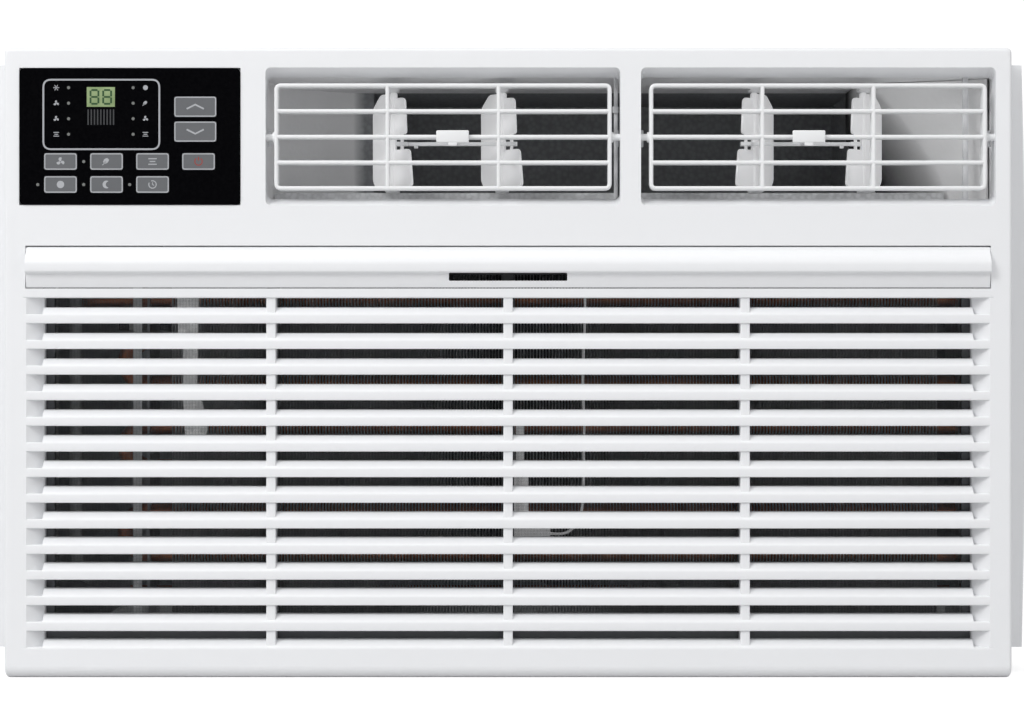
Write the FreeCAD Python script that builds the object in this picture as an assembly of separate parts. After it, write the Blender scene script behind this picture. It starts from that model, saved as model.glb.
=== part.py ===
import FreeCAD, Part
import math
import os
from FreeCAD import Vector

# Room air conditioner of the window and wall chassis type, in millimetres.
# +Z is up, the front faces -Y and +X is to the right as seen from the room.
# The origin is under the middle of the whole unit, on the surface that it stands on.

# Overall sizes
OVERALL_WIDTH = 615.0      # across the bowed side skirts of the front panel
OVERALL_DEPTH = 516.0      # from the filter door's ridge to the rear panel
PANEL_HEIGHT = 368.0       # the front panel, from the ground up

# Front panel
FACE_WIDTH = 588.0         # the raised front, inside the two skirts
FACE_DEPTH = 30.0          # how deep the raised front is
PANEL_DEPTH = 58.0         # from the front face to the rear edge of the skirts
PANEL_WALL = 2.8
CORNER_RADIUS = 3.0
EDGE_RADIUS = 2.4
BOTTOM_EDGE_RADIUS = 7.0
SKIRT_BOW = 2.0            # how far the skirts bulge outwards at half height
SKIRT_BOTTOM = 15.0
SKIRT_TOP_DROP = 7.0
TOP_MARGIN = 11.7          # from the panel's top down to the outlets
SIDE_BORDER = 13.0         # plain border beside the intake grille
HEADER_HEIGHT = 23.4       # plain band between the outlets and the filter door

# Control panel
CONTROL_WIDTH = 129.0
CONTROL_HEIGHT = 80.0
CONTROL_MARGIN = 9.0
BEZEL_THICKNESS = 2.4
BEZEL_PROUD = 0.6
DISPLAY_WIDTH = 66.0
DISPLAY_HEIGHT = 39.0
DISPLAY_SHIFT_X = -16.8
DISPLAY_SHIFT_Z = 12.7
LENS_THICKNESS = 1.5
KEY_WIDTH = 19.6
KEY_HEIGHT = 10.2
ARROW_KEY_WIDTH = 25.0
ARROW_KEY_HEIGHT = 12.3
KEY_PITCH_X = 26.8
KEY_PITCH_Z = 13.4
KEY_ROW_SHIFT = -14.7      # the upper row of keys, from the control panel's middle
ARROW_UPPER_SHIFT = 17.2
ARROW_LOWER_SHIFT = 2.7
ARROW_SHIFT_X = 38.3
KEY_PROUD = 0.6
KEY_TRAVEL = 0.6
KEY_CLEARANCE = 0.3
KEY_FLANGE = 1.0
KEY_STEM_RADIUS = 2.0
KEY_STEM_LENGTH = 3.0
LAMP_RADIUS = 0.9
LAMP_PITCH_Z = 9.05
LAMP_COLUMN_SHIFT = 18.8
DIGIT_WIDTH = 16.4
DIGIT_HEIGHT = 11.5
SWITCH_SIZE = 6.0
SWITCH_HEIGHT = 3.5
PLUNGER_RADIUS = 1.6
PLUNGER_HEIGHT = 0.7
BOARD_THICKNESS = 1.6
BOARD_MARGIN = 5.0
HOUSING_WALL = 2.0
HOUSING_DEPTH = 84.0

# Air outlets and their louvers
OUTLET_HEIGHT = 80.5
OUTLET_GAP = 14.5          # between the control panel and the left outlet
OUTLET_MARGIN = 9.5        # between the right outlet and the face's edge
OUTLET_POST = 12.0
LIP_DEPTH = 12.0
LIP_WALL = 2.5
LIP_TAPER = 4.5            # how far the lip's floor and ceiling close in over its depth
OUTLET_CORNER = 3.0
LOUVER_SIDE_GAP = 5.0
LOUVER_HEIGHT = 62.3
LOUVER_ROWS = 5
LOUVER_UPRIGHTS = 4
LOUVER_BAR = 2.3
LOUVER_DEPTH = 9.0
LOUVER_SETBACK = 1.0
LOUVER_PIN_RADIUS = 2.0
LOUVER_PIN_BITE = 2.5
RUNNING_CLEARANCE = 0.05

# Vertical vanes, their link rods and handles
VANE_THICKNESS = 1.6
VANE_REST_ANGLE = 45.0
VANE_REAR = 17.4
VANE_LOWER_FRONT = 17.5
VANE_UPPER_FRONT = 12.0
VANE_SLANT = 2.5
VANE_END_GAP = 0.8
VANE_PIVOT_SHIFT = 2.0
VANE_PIVOT_BEHIND = 18.0   # from the back of the louver's bars to the vanes' pivots
VANE_PIN_RADIUS = 1.5
VANE_BARREL_RADIUS = 1.9
VANE_NOTCH_BELOW = 5.6
VANE_NOTCH_ABOVE = 3.2
VANE_NOTCH_START = 2.6
CRANK_RADIUS = 8.0
CRANK_PIN_RADIUS = 1.0
CRANK_SLOT_CLEARANCE = 0.4
LINK_THICKNESS = 2.2
LINK_WIDTH = 3.0
LINK_PAD_WALL = 1.2
LINK_GAP = 0.35
HANDLE_WIDTH = 19.0
HANDLE_THICKNESS = 2.0
HANDLE_GAP = 0.6
HANDLE_NECK = 2.6          # half the width of the handle's neck
NUB_PLACE = 8.3            # from the first crank slot to the stop nub

# Filter door and filter
DOOR_HEIGHT = 24.0
DOOR_GAP = 0.5
DOOR_RIDGE = 5.0           # how far the ridge stands out of the face
DOOR_TOP_RADIUS = 2.0
DOOR_BACK = 2.4
DOOR_PIN_RADIUS = 1.5
DOOR_PIN_LENGTH = 2.5
DOOR_EAR = 3.0
FINGER_SLOT_WIDTH = 69.0
FINGER_SLOT_HEIGHT = 4.7
FILTER_THICKNESS = 3.5
FILTER_BAR = 7.0
FILTER_GAP = 0.4
FILTER_TOP_DROP = 6.0      # from the door pocket's top down to the filter's top
MESH_THICKNESS = 0.6
MESH_BITE = 1.5
GUIDE_WALL = 1.8

# Intake grille
GRILLE_GAP = 5.4           # plain band under the filter door
GRILLE_PITCH = 14.95
GRILLE_SLOT = 9.6          # height of one recess at the front
GRILLE_CLEAR = 5.5         # height of its open upper part
GRILLE_DEPTH = 12.0
GRILLE_LIP_DEPTH = 5.0
GRILLE_NOSE = 3.0
GRILLE_UNDERCUT = 7.0
GRILLE_END_SLOPE = 11.5
GRILLE_END_DEPTH = 8.0
GRILLE_BOTTOM_MARGIN = 18.0
GRILLE_RIM = 2.0
GRILLE_RIBS = 3
RIB_WIDTH = 5.5
RIB_SETBACK = 1.2
RIB_SPREAD = 0.985         # the ribs stand slightly closer than even quarters

# Cord gland in the right skirt
GLAND_RADIUS = 6.0
GLAND_BORE = 4.2
GLAND_Z = 40.0

# Chassis
SHEET = 1.2
CABINET_CLEARANCE = 1.2    # between the panel's skirts and the cabinet
CABINET_OVERLAP = 10.0
RUNNER_HEIGHT = 6.0
RUNNER_WIDTH = 24.0
BASE_SHEET = 1.5
BASE_FLANGE = 24.0
FIT_GAP = 0.2
SEAT_GAP = 0.3

# Evaporator, at the front
EVAPORATOR_LEFT = -214.0
EVAPORATOR_RIGHT_MARGIN = 26.0
EVAPORATOR_DEPTH = 38.0
EVAPORATOR_FRONT_GAP = 25.0
COIL_PLATE = 1.2
TUBE_RADIUS = 4.8
TUBE_PITCH = 25.4
FIN_PITCH = 8.0
FIN_THICKNESS = 0.8
PAN_WALL = 3.0
PAN_HEIGHT = 28.0
DUCT_WALL = 3.0
SEAL_THICKNESS = 4.0

# Air moving parts
SHAFT_X = 60.0
SHAFT_Z = 165.0
SHAFT_RADIUS = 6.0
WHEEL_RADIUS = 85.0
WHEEL_WIDTH = 66.0
WHEEL_BLADES = 36
SCROLL_WIDTH = 82.0
SCROLL_WALL = 3.0
SCROLL_GAP = 7.0           # from the wheel to the scroll's tongue
INLET_LAP = 15.0           # the inlet ring stands this far inside the wheel's rim
SCROLL_END = 150.0
SCROLL_FRONT_Y = -150.0
BULKHEAD_GAP = 2.0
MOTOR_RADIUS = 48.0
MOTOR_LENGTH = 90.0
MOTOR_GAP = 14.0           # from the bulkhead to the motor's front
FAN_RADIUS = 138.0
FAN_BLADES = 5
FAN_DEPTH = 30.0
SLINGER_WALL = 5.0
SHROUD_GAP = 5.0
SHROUD_WALL = 2.5

# Condenser, at the rear
CONDENSER_DEPTH = 40.0
CONDENSER_REAR_GAP = 12.0
CONDENSER_SIDE_GAP = 32.0

# Holes and slots in the sheet metal
DRAIN_RADIUS = 7.0
DRAIN_X = 200.0
SIDE_HOLE_RADIUS = 2.5
SIDE_HOLE_Z = 22.0
SIDE_HOLE_MARGIN = 60.0
WRAP_SLOTS = 14
WRAP_SLOT_PITCH = 9.0
WRAP_SLOT_WIDTH = 3.5
GUARD_PITCH = 11.0
SCREW_HEAD = 2.6
SCREW_RADIUS = 2.0

# Compressor
COMPRESSOR_X = -214.0
COMPRESSOR_Y = 48.0
COMPRESSOR_RADIUS = 56.0
COMPRESSOR_HEIGHT = 210.0
COMPRESSOR_FOOT_Z = 22.0
COMPRESSOR_FOOT_RADIUS = 68.0
ACCUMULATOR_RADIUS = 24.0
ACCUMULATOR_HEIGHT = 120.0
CAPILLARY_X = -150.0
CAPILLARY_Z = 70.0

X_AXIS = Vector(1, 0, 0)
Y_AXIS = Vector(0, 1, 0)
Z_AXIS = Vector(0, 0, 1)

# Places that follow from the sizes
FACE_Y = -OVERALL_DEPTH / 2 + DOOR_RIDGE
PANEL_REAR_Y = FACE_Y + PANEL_DEPTH
REAR_Y = OVERALL_DEPTH / 2
FACE_HALF = FACE_WIDTH / 2
OUTLET_TOP = PANEL_HEIGHT - TOP_MARGIN
OUTLET_BOTTOM = OUTLET_TOP - OUTLET_HEIGHT
OUTLET_MIDDLE = (OUTLET_TOP + OUTLET_BOTTOM) / 2
DOOR_POCKET_TOP = OUTLET_BOTTOM - HEADER_HEIGHT
DOOR_POCKET_BOTTOM = DOOR_POCKET_TOP - DOOR_HEIGHT - 2 * DOOR_GAP
GRILLE_HALF = FACE_HALF - SIDE_BORDER
GRILLE_TOP = DOOR_POCKET_BOTTOM - GRILLE_GAP
GRILLE_ROWS = 1 + int((GRILLE_TOP - GRILLE_BOTTOM_MARGIN - GRILLE_SLOT) / GRILLE_PITCH)
GRILLE_BOTTOM = GRILLE_TOP - (GRILLE_ROWS - 1) * GRILLE_PITCH - GRILLE_SLOT
CONTROL_X = -FACE_HALF + CONTROL_MARGIN + CONTROL_WIDTH / 2
OUTLETS_LEFT = -FACE_HALF + CONTROL_MARGIN + CONTROL_WIDTH + OUTLET_GAP
OUTLETS_RIGHT = FACE_HALF - OUTLET_MARGIN
OUTLET_WIDTH = (OUTLETS_RIGHT - OUTLETS_LEFT - OUTLET_POST) / 2
LOUVER_WIDTH = OUTLET_WIDTH - 2 * LOUVER_SIDE_GAP
LEFT_LOUVER_X = OUTLETS_LEFT + OUTLET_WIDTH / 2
RIGHT_LOUVER_X = OUTLETS_RIGHT - OUTLET_WIDTH / 2
LOUVER_FRONT_Y = FACE_Y + LOUVER_SETBACK
LOUVER_REAR_Y = LOUVER_FRONT_Y + LOUVER_DEPTH
LOUVER_AXIS_Y = (LOUVER_FRONT_Y + LOUVER_REAR_Y) / 2
UPRIGHT_SPACING = (LOUVER_WIDTH - LOUVER_BAR) / (LOUVER_UPRIGHTS - 1)
VANE_PIVOT_Y = LOUVER_REAR_Y + VANE_PIVOT_BEHIND
VANE_BOTTOM = OUTLET_MIDDLE - LOUVER_HEIGHT / 2 + LOUVER_BAR + VANE_END_GAP
VANE_TOP = OUTLET_MIDDLE + LOUVER_HEIGHT / 2 - LOUVER_BAR - VANE_END_GAP
CRANK_REST_X = CRANK_RADIUS * math.sin(math.radians(VANE_REST_ANGLE))
CRANK_REST_Y = -CRANK_RADIUS * math.cos(math.radians(VANE_REST_ANGLE))
LINK_TOP = OUTLET_MIDDLE - LOUVER_BAR / 2 - LINK_GAP
LINK_BOTTOM = LINK_TOP - LINK_THICKNESS
BEZEL_FRONT_Y = FACE_Y - BEZEL_PROUD
BEZEL_BACK_Y = BEZEL_FRONT_Y + BEZEL_THICKNESS
KEY_FRONT_Y = BEZEL_FRONT_Y - KEY_PROUD
KEY_STEM_END_Y = BEZEL_BACK_Y + KEY_CLEARANCE + KEY_FLANGE + KEY_STEM_LENGTH
BOARD_FRONT_Y = KEY_STEM_END_Y + KEY_TRAVEL + 0.1 + PLUNGER_HEIGHT + SWITCH_HEIGHT
CABINET_HALF = OVERALL_WIDTH / 2 - SKIRT_BOW - PANEL_WALL - CABINET_CLEARANCE
CABINET_TOP = PANEL_HEIGHT - SKIRT_TOP_DROP - PANEL_WALL - CABINET_CLEARANCE
CABINET_FRONT_Y = PANEL_REAR_Y - CABINET_OVERLAP
BASE_HALF = CABINET_HALF - SHEET - FIT_GAP
BASE_FLOOR = RUNNER_HEIGHT + BASE_SHEET
EVAPORATOR_RIGHT = FACE_HALF - EVAPORATOR_RIGHT_MARGIN
EVAPORATOR_FRONT_Y = FACE_Y + EVAPORATOR_FRONT_GAP
EVAPORATOR_REAR_Y = EVAPORATOR_FRONT_Y + EVAPORATOR_DEPTH
PAN_BOTTOM = BASE_FLOOR + FIT_GAP
EVAPORATOR_BOTTOM = PAN_BOTTOM + PAN_WALL + 12.0
DUCT_BOTTOM = OUTLET_BOTTOM - 0.5 - DUCT_WALL
DUCT_TOP = CABINET_TOP - SHEET - 0.3
DUCT_FRONT_Y = FACE_Y + LIP_DEPTH + 1.0
SCROLL_REAR_Y = SCROLL_FRONT_Y + SCROLL_WIDTH
BULKHEAD_Y = SCROLL_REAR_Y + BULKHEAD_GAP
MOTOR_FRONT_Y = BULKHEAD_Y + SHEET + MOTOR_GAP
MOTOR_REAR_Y = MOTOR_FRONT_Y + MOTOR_LENGTH
CONDENSER_REAR_Y = REAR_Y - CONDENSER_REAR_GAP
CONDENSER_FRONT_Y = CONDENSER_REAR_Y - CONDENSER_DEPTH
FAN_FRONT_Y = CONDENSER_FRONT_Y - 86.0
DISPLAY_X = CONTROL_X + DISPLAY_SHIFT_X
DISPLAY_Z = OUTLET_MIDDLE + DISPLAY_SHIFT_Z
DOOR_AXIS_Y = FACE_Y + DOOR_TOP_RADIUS
DOOR_AXIS_Z = DOOR_POCKET_TOP - DOOR_GAP - DOOR_TOP_RADIUS
FILTER_HALF = GRILLE_HALF - GRILLE_END_SLOPE + FILTER_BAR - 2.5
FILTER_FRONT_Y = FACE_Y + GRILLE_DEPTH + 1.5
FILTER_REAR_Y = FILTER_FRONT_Y + FILTER_THICKNESS
FILTER_BOTTOM = GRILLE_BOTTOM + GUIDE_WALL + FILTER_GAP
FILTER_TOP = DOOR_POCKET_TOP - FILTER_TOP_DROP
GLAND_Y = CABINET_FRONT_Y - GLAND_RADIUS - 2.3
REAR_FACE_Y = REAR_Y - SCREW_HEAD
EVAPORATOR_TOP = DUCT_BOTTOM - 28.0
DRAIN_Y = CONDENSER_FRONT_Y - 30.0
SIDE_HOLE_YS = (CABINET_FRONT_Y + SIDE_HOLE_MARGIN, REAR_FACE_Y - SIDE_HOLE_MARGIN)
WRAP_SLOT_START = BULKHEAD_Y + 60.0


# ------------------------------------------------------------------ helpers

def box(x0, x1, y0, y1, z0, z1):
    """Block between two corners."""
    return Part.makeBox(x1 - x0, y1 - y0, z1 - z0, Vector(x0, y0, z0))


def rod(radius, start, length, axis):
    """Round bar of one radius, from a start point along an axis."""
    return Part.makeCylinder(radius, length, start, axis)


def edges_along(shape, axis):
    """Straight edges of a shape that run along one axis."""
    found = []
    for edge in shape.Edges:
        if isinstance(edge.Curve, Part.Line) and abs(edge.Curve.Direction.dot(axis)) > 0.999:
            found.append(edge)
    return found


def rounded_box(x0, x1, y0, y1, z0, z1, radius, axis):
    """Block whose four edges along one axis are rounded."""
    block = box(x0, x1, y0, y1, z0, z1)
    return block.makeFillet(radius, edges_along(block, axis))


def prism_x(outline, x0, x1):
    """Solid along X with an outline of (y, z) points."""
    points = [Vector(x0, y, z) for y, z in outline]
    return Part.Face(Part.makePolygon(points + points[:1])).extrude(Vector(x1 - x0, 0, 0))


def prism_z(outline, z0, z1):
    """Solid along Z with an outline of (x, y) points."""
    points = [Vector(x, y, z0) for x, y in outline]
    return Part.Face(Part.makePolygon(points + points[:1])).extrude(Vector(0, 0, z1 - z0))


def arc(start, middle, end):
    """Round edge through three points."""
    return Part.Arc(start, middle, end).toShape()


def line(start, end):
    """Straight edge."""
    return Part.LineSegment(start, end).toShape()


def join(shapes):
    """One solid from several that touch or overlap."""
    return shapes[0].multiFuse(shapes[1:]).removeSplitter()


def group(shapes):
    """Separate solids that share one file."""
    return Part.makeCompound(shapes)


def bent_tube(points, radius, bend):
    """Round tube along straight runs joined by tangent arcs of one radius."""
    edges = []
    start = points[0]
    for before, corner, after in zip(points, points[1:], points[2:]):
        into = (corner - before).normalize()
        out = (after - corner).normalize()
        half_turn = into.getAngle(out) / 2
        reach = bend * math.tan(half_turn)
        inward = (out - into).normalize()
        arc_start = corner - into * reach
        arc_end = corner + out * reach
        arc_middle = corner + inward * (bend / math.cos(half_turn) - bend)
        if (arc_start - start).Length > 0.001:
            edges.append(line(start, arc_start))
        edges.append(arc(arc_start, arc_middle, arc_end))
        start = arc_end
    edges.append(line(start, points[-1]))
    path = Part.Wire(edges)
    first_run = (points[1] - points[0]).normalize()
    circle = Part.Wire(Part.makeCircle(radius, points[0], first_run))
    return path.makePipeShell([circle], True, False)


# -------------------------------------------------------------- front panel

def front_panel():
    """White moulding: raised front, side skirts, outlet lips and door pocket."""
    front = box(-FACE_HALF, FACE_HALF, FACE_Y, FACE_Y + FACE_DEPTH, 0, PANEL_HEIGHT)
    lower_edge = [e for e in edges_along(front, X_AXIS)
                  if e.CenterOfMass.y < FACE_Y + 0.1 and e.CenterOfMass.z < 0.1]
    front = front.makeFillet(BOTTOM_EDGE_RADIUS, lower_edge)
    upper_corners = [e for e in edges_along(front, Y_AXIS) if e.CenterOfMass.z > 1]
    front = front.makeFillet(CORNER_RADIUS, upper_corners)
    front_edges = [e for e in edges_along(front, Z_AXIS) + edges_along(front, X_AXIS)
                   if e.CenterOfMass.y < FACE_Y + 0.1 and e.CenterOfMass.z > PANEL_HEIGHT / 4]
    front = front.makeFillet(EDGE_RADIUS, front_edges)
    skirt_front = FACE_Y + FACE_DEPTH - PANEL_WALL
    skirt_top = PANEL_HEIGHT - SKIRT_TOP_DROP
    outer = OVERALL_WIDTH / 2
    inner = outer - SKIRT_BOW
    middle = (SKIRT_BOTTOM + skirt_top) / 2
    corners = [Vector(x, skirt_front, z) for x, z in (
        (-inner, SKIRT_BOTTOM), (inner, SKIRT_BOTTOM), (inner, skirt_top), (-inner, skirt_top))]
    outline = Part.Wire([
        line(corners[0], corners[1]),
        arc(corners[1], Vector(outer, skirt_front, middle), corners[2]),
        line(corners[2], corners[3]),
        arc(corners[3], Vector(-outer, skirt_front, middle), corners[0])])
    skirt = Part.Face(outline).extrude(Vector(0, PANEL_REAR_Y - skirt_front, 0))
    panel = front.fuse(skirt)
    wall = PANEL_WALL
    panel = panel.cut(box(-FACE_HALF + wall, FACE_HALF - wall, FACE_Y + wall, skirt_front,
                          wall, PANEL_HEIGHT - wall))
    panel = panel.cut(box(-FACE_HALF + wall, FACE_HALF - wall, skirt_front - 1, PANEL_REAR_Y + 1,
                          wall, skirt_top - wall))
    panel = panel.cut(box(-inner + wall, inner - wall, skirt_front + wall, PANEL_REAR_Y + 1,
                          -1, skirt_top - wall))
    panel = panel.cut(box(-inner - 5, inner + 5, FACE_Y + FACE_DEPTH, PANEL_REAR_Y + 1,
                          -1, SKIRT_BOTTOM))
    lips = []
    for middle_x in (LEFT_LOUVER_X, RIGHT_LOUVER_X):
        lips.append(box(middle_x - OUTLET_WIDTH / 2 - LIP_WALL, middle_x + OUTLET_WIDTH / 2 + LIP_WALL,
                        FACE_Y, FACE_Y + LIP_DEPTH, OUTLET_BOTTOM - LIP_WALL, OUTLET_TOP + LIP_WALL))
    ear = DOOR_POCKET_TOP - 12
    for side in (-1, 1):
        x0 = side * (GRILLE_HALF + DOOR_GAP)
        x1 = x0 + side * DOOR_EAR
        lips.append(box(min(x0, x1), max(x0, x1), FACE_Y, FACE_Y + 8, ear, DOOR_POCKET_TOP + 3))
    panel = join([panel] + lips)
    cuts = []
    for middle_x in (LEFT_LOUVER_X, RIGHT_LOUVER_X):
        x0 = middle_x - OUTLET_WIDTH / 2
        x1 = middle_x + OUTLET_WIDTH / 2
        slope = LIP_TAPER / LIP_DEPTH
        rear = LIP_DEPTH + 1
        mouth = prism_x([(FACE_Y - 1, OUTLET_BOTTOM - slope), (FACE_Y + rear, OUTLET_BOTTOM + rear * slope),
                         (FACE_Y + rear, OUTLET_TOP - rear * slope), (FACE_Y - 1, OUTLET_TOP + slope)],
                        x0, x1)
        corners = [e for e in mouth.Edges if abs(e.Curve.Direction.y) > 0.9]
        cuts.append(mouth.makeFillet(OUTLET_CORNER, corners))
        for side in (-1, 1):
            start = Vector(middle_x + side * (OUTLET_WIDTH / 2 - 1), LOUVER_AXIS_Y, OUTLET_MIDDLE)
            cuts.append(rod(LOUVER_PIN_RADIUS + RUNNING_CLEARANCE, start, 1 + LOUVER_PIN_BITE + FIT_GAP,
                            X_AXIS * side))
    cuts.append(box(CONTROL_X - CONTROL_WIDTH / 2, CONTROL_X + CONTROL_WIDTH / 2,
                    FACE_Y - 1, FACE_Y + wall + 1, OUTLET_MIDDLE - CONTROL_HEIGHT / 2, OUTLET_MIDDLE + CONTROL_HEIGHT / 2))
    cuts.append(box(-GRILLE_HALF - DOOR_GAP, GRILLE_HALF + DOOR_GAP, FACE_Y - 1, FACE_Y + wall + 1,
                    DOOR_POCKET_BOTTOM, DOOR_POCKET_TOP))
    cuts.append(box(-GRILLE_HALF - GRILLE_RIM, GRILLE_HALF + GRILLE_RIM, FACE_Y - 1, FACE_Y + wall + 1,
                    GRILLE_BOTTOM - GRILLE_RIM, GRILLE_TOP + GRILLE_RIM))
    for side in (-1, 1):
        start = Vector(side * (GRILLE_HALF - 1), DOOR_AXIS_Y, DOOR_AXIS_Z)
        cuts.append(rod(DOOR_PIN_RADIUS + RUNNING_CLEARANCE, start, 10, X_AXIS * side))
    gland = Vector(OVERALL_WIDTH / 2 - 12, GLAND_Y, GLAND_Z)
    cuts.append(rod(GLAND_RADIUS, gland, 20, X_AXIS))
    return panel.cut(Part.makeCompound(cuts))


def intake_grille():
    """Slatted insert of the front panel, with three ribs and the filter's side guides."""
    rear = FACE_Y + GRILLE_DEPTH
    plate = box(-GRILLE_HALF - GRILLE_RIM, GRILLE_HALF + GRILLE_RIM, FACE_Y, rear,
                GRILLE_BOTTOM - GRILLE_RIM, GRILLE_TOP + GRILLE_RIM)
    open_half = GRILLE_HALF - GRILLE_END_SLOPE
    deep = FACE_Y + GRILLE_END_DEPTH
    plan = prism_z([(-GRILLE_HALF - 1, FACE_Y - 1), (GRILLE_HALF + 1, FACE_Y - 1), (GRILLE_HALF, FACE_Y),
                    (open_half, deep), (open_half, rear + 1), (-open_half, rear + 1),
                    (-open_half, deep), (-GRILLE_HALF, FACE_Y)],
                   GRILLE_BOTTOM - GRILLE_RIM - 20, GRILLE_TOP + GRILLE_RIM + 20)
    slots = []
    for row in range(GRILLE_ROWS):
        top = GRILLE_TOP - row * GRILLE_PITCH
        undercut = GRILLE_UNDERCUT if row else 0
        slots.append(prism_x([(FACE_Y - 1, top), (FACE_Y + GRILLE_NOSE, top), (rear + 1, top + undercut),
                              (rear + 1, top - GRILLE_CLEAR), (FACE_Y + GRILLE_LIP_DEPTH, top - GRILLE_CLEAR),
                              (FACE_Y, top - GRILLE_SLOT), (FACE_Y - 1, top - GRILLE_SLOT)],
                             -GRILLE_HALF - 1, GRILLE_HALF + 1))
    grille = plate.cut(Part.makeCompound(slots).common(plan))
    ribs = []
    for number in range(GRILLE_RIBS):
        x = rib_x(number)
        ribs.append(box(x - RIB_WIDTH / 2, x + RIB_WIDTH / 2, FACE_Y + RIB_SETBACK, rear,
                        GRILLE_BOTTOM - 1, GRILLE_TOP + 1))
    for side in (-1, 1):
        inside = side * (FILTER_HALF - FILTER_BAR + 2)
        outside = side * (FILTER_HALF + FILTER_GAP + GUIDE_WALL)
        ribs.append(box(min(inside, outside), max(inside, outside), rear - 1,
                        FILTER_REAR_Y + FILTER_GAP + GUIDE_WALL, GRILLE_BOTTOM, GRILLE_TOP))
    grille = join([grille] + ribs)
    groove = box(-FILTER_HALF - FILTER_GAP, FILTER_HALF + FILTER_GAP, FILTER_FRONT_Y - FILTER_GAP,
                 FILTER_REAR_Y + FILTER_GAP, GRILLE_BOTTOM + GUIDE_WALL, GRILLE_TOP + 1)
    return grille.cut(groove)


def rib_x(number):
    """Middle of one of the grille's vertical ribs."""
    return (number - (GRILLE_RIBS - 1) / 2) * 2 * GRILLE_HALF / (GRILLE_RIBS + 1) * RIB_SPREAD


# ------------------------------------------------------------ control panel

def key_places():
    """Name, middle x, middle z, width and height of each key."""
    upper = OUTLET_MIDDLE + KEY_ROW_SHIFT
    lower = upper - KEY_PITCH_Z
    places = []
    names = (("key_fan_speed", upper, -1.5), ("key_energy_saver", upper, -0.5),
             ("key_mode", upper, 0.5), ("key_power", upper, 1.5),
             ("key_filter_reset", lower, -1.5), ("key_sleep", lower, -0.5),
             ("key_timer", lower, 0.5))
    for name, z, column in names:
        places.append((name, CONTROL_X + column * KEY_PITCH_X, z, KEY_WIDTH, KEY_HEIGHT))
    arrow_x = CONTROL_X + ARROW_SHIFT_X
    for name, shift in (("key_up", ARROW_UPPER_SHIFT), ("key_down", ARROW_LOWER_SHIFT)):
        places.append((name, arrow_x, OUTLET_MIDDLE + shift, ARROW_KEY_WIDTH, ARROW_KEY_HEIGHT))
    return places


def lamp_places():
    """Middle x and z of each indicator lamp: two columns, then four beside the keys."""
    places = []
    for side in (-1, 1):
        for row in range(4):
            z = OUTLET_MIDDLE + DISPLAY_SHIFT_Z + (1.73 - row) * LAMP_PITCH_Z
            places.append((CONTROL_X + DISPLAY_SHIFT_X + side * LAMP_COLUMN_SHIFT, z))
    upper = OUTLET_MIDDLE + KEY_ROW_SHIFT
    lower = upper - KEY_PITCH_Z
    for column, z in ((-2, lower), (-1, upper), (-1, lower), (0, lower)):
        places.append((CONTROL_X + column * KEY_PITCH_X, z))
    return places


def control_bezel():
    """Black panel with the display window and an opening for each key."""
    half_x = CONTROL_WIDTH / 2 - FIT_GAP
    half_z = CONTROL_HEIGHT / 2 - FIT_GAP
    bezel = rounded_box(CONTROL_X - half_x, CONTROL_X + half_x, BEZEL_FRONT_Y, BEZEL_BACK_Y,
                        OUTLET_MIDDLE - half_z, OUTLET_MIDDLE + half_z, CORNER_RADIUS, Y_AXIS)
    cuts = []
    for _, x, z, width, height in key_places():
        cuts.append(box(x - width / 2, x + width / 2, BEZEL_FRONT_Y - 1, BEZEL_BACK_Y + 1,
                        z - height / 2, z + height / 2))
    for grow, depth in ((0, LENS_THICKNESS), (-2, BEZEL_THICKNESS + 1)):
        cuts.append(box(DISPLAY_X - DISPLAY_WIDTH / 2 - grow, DISPLAY_X + DISPLAY_WIDTH / 2 + grow,
                        BEZEL_FRONT_Y - 1, BEZEL_FRONT_Y + depth,
                        DISPLAY_Z - DISPLAY_HEIGHT / 2 - grow, DISPLAY_Z + DISPLAY_HEIGHT / 2 + grow))
    for x, z in lamp_places()[8:]:
        cuts.append(rod(LAMP_RADIUS + RUNNING_CLEARANCE, Vector(x, BEZEL_FRONT_Y - 1, z), 10, Y_AXIS))
    return bezel.cut(Part.makeCompound(cuts))


def display_lens():
    """Dark window over the digits and lamps."""
    half_x = DISPLAY_WIDTH / 2 - FIT_GAP
    half_z = DISPLAY_HEIGHT / 2 - FIT_GAP
    return box(DISPLAY_X - half_x, DISPLAY_X + half_x, BEZEL_FRONT_Y, BEZEL_FRONT_Y + LENS_THICKNESS,
               DISPLAY_Z - half_z, DISPLAY_Z + half_z)


def key(x, z, width, height):
    """Key cap with the flange that keeps it in the bezel and its stem."""
    half_x = width / 2 - KEY_CLEARANCE
    half_z = height / 2 - KEY_CLEARANCE
    flange_y = BEZEL_BACK_Y + KEY_CLEARANCE
    cap = rounded_box(x - half_x, x + half_x, KEY_FRONT_Y, flange_y, z - half_z, z + half_z, 1.0, Y_AXIS)
    flange = box(x - half_x - 1, x + half_x + 1, flange_y, flange_y + KEY_FLANGE,
                 z - half_z - 1, z + half_z + 1)
    stem = rod(KEY_STEM_RADIUS, Vector(x, flange_y + KEY_FLANGE, z), KEY_STEM_LENGTH, Y_AXIS)
    return join([cap, flange, stem])


def tact_switches():
    """One push switch behind each key."""
    switches = []
    for _, x, z, _, _ in key_places():
        half = SWITCH_SIZE / 2
        body = box(x - half, x + half, BOARD_FRONT_Y - SWITCH_HEIGHT, BOARD_FRONT_Y, z - half, z + half)
        plunger = rod(PLUNGER_RADIUS, Vector(x, BOARD_FRONT_Y - SWITCH_HEIGHT - PLUNGER_HEIGHT, z),
                      PLUNGER_HEIGHT, Y_AXIS)
        switches.append(body.fuse(plunger))
    return group(switches)


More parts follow.
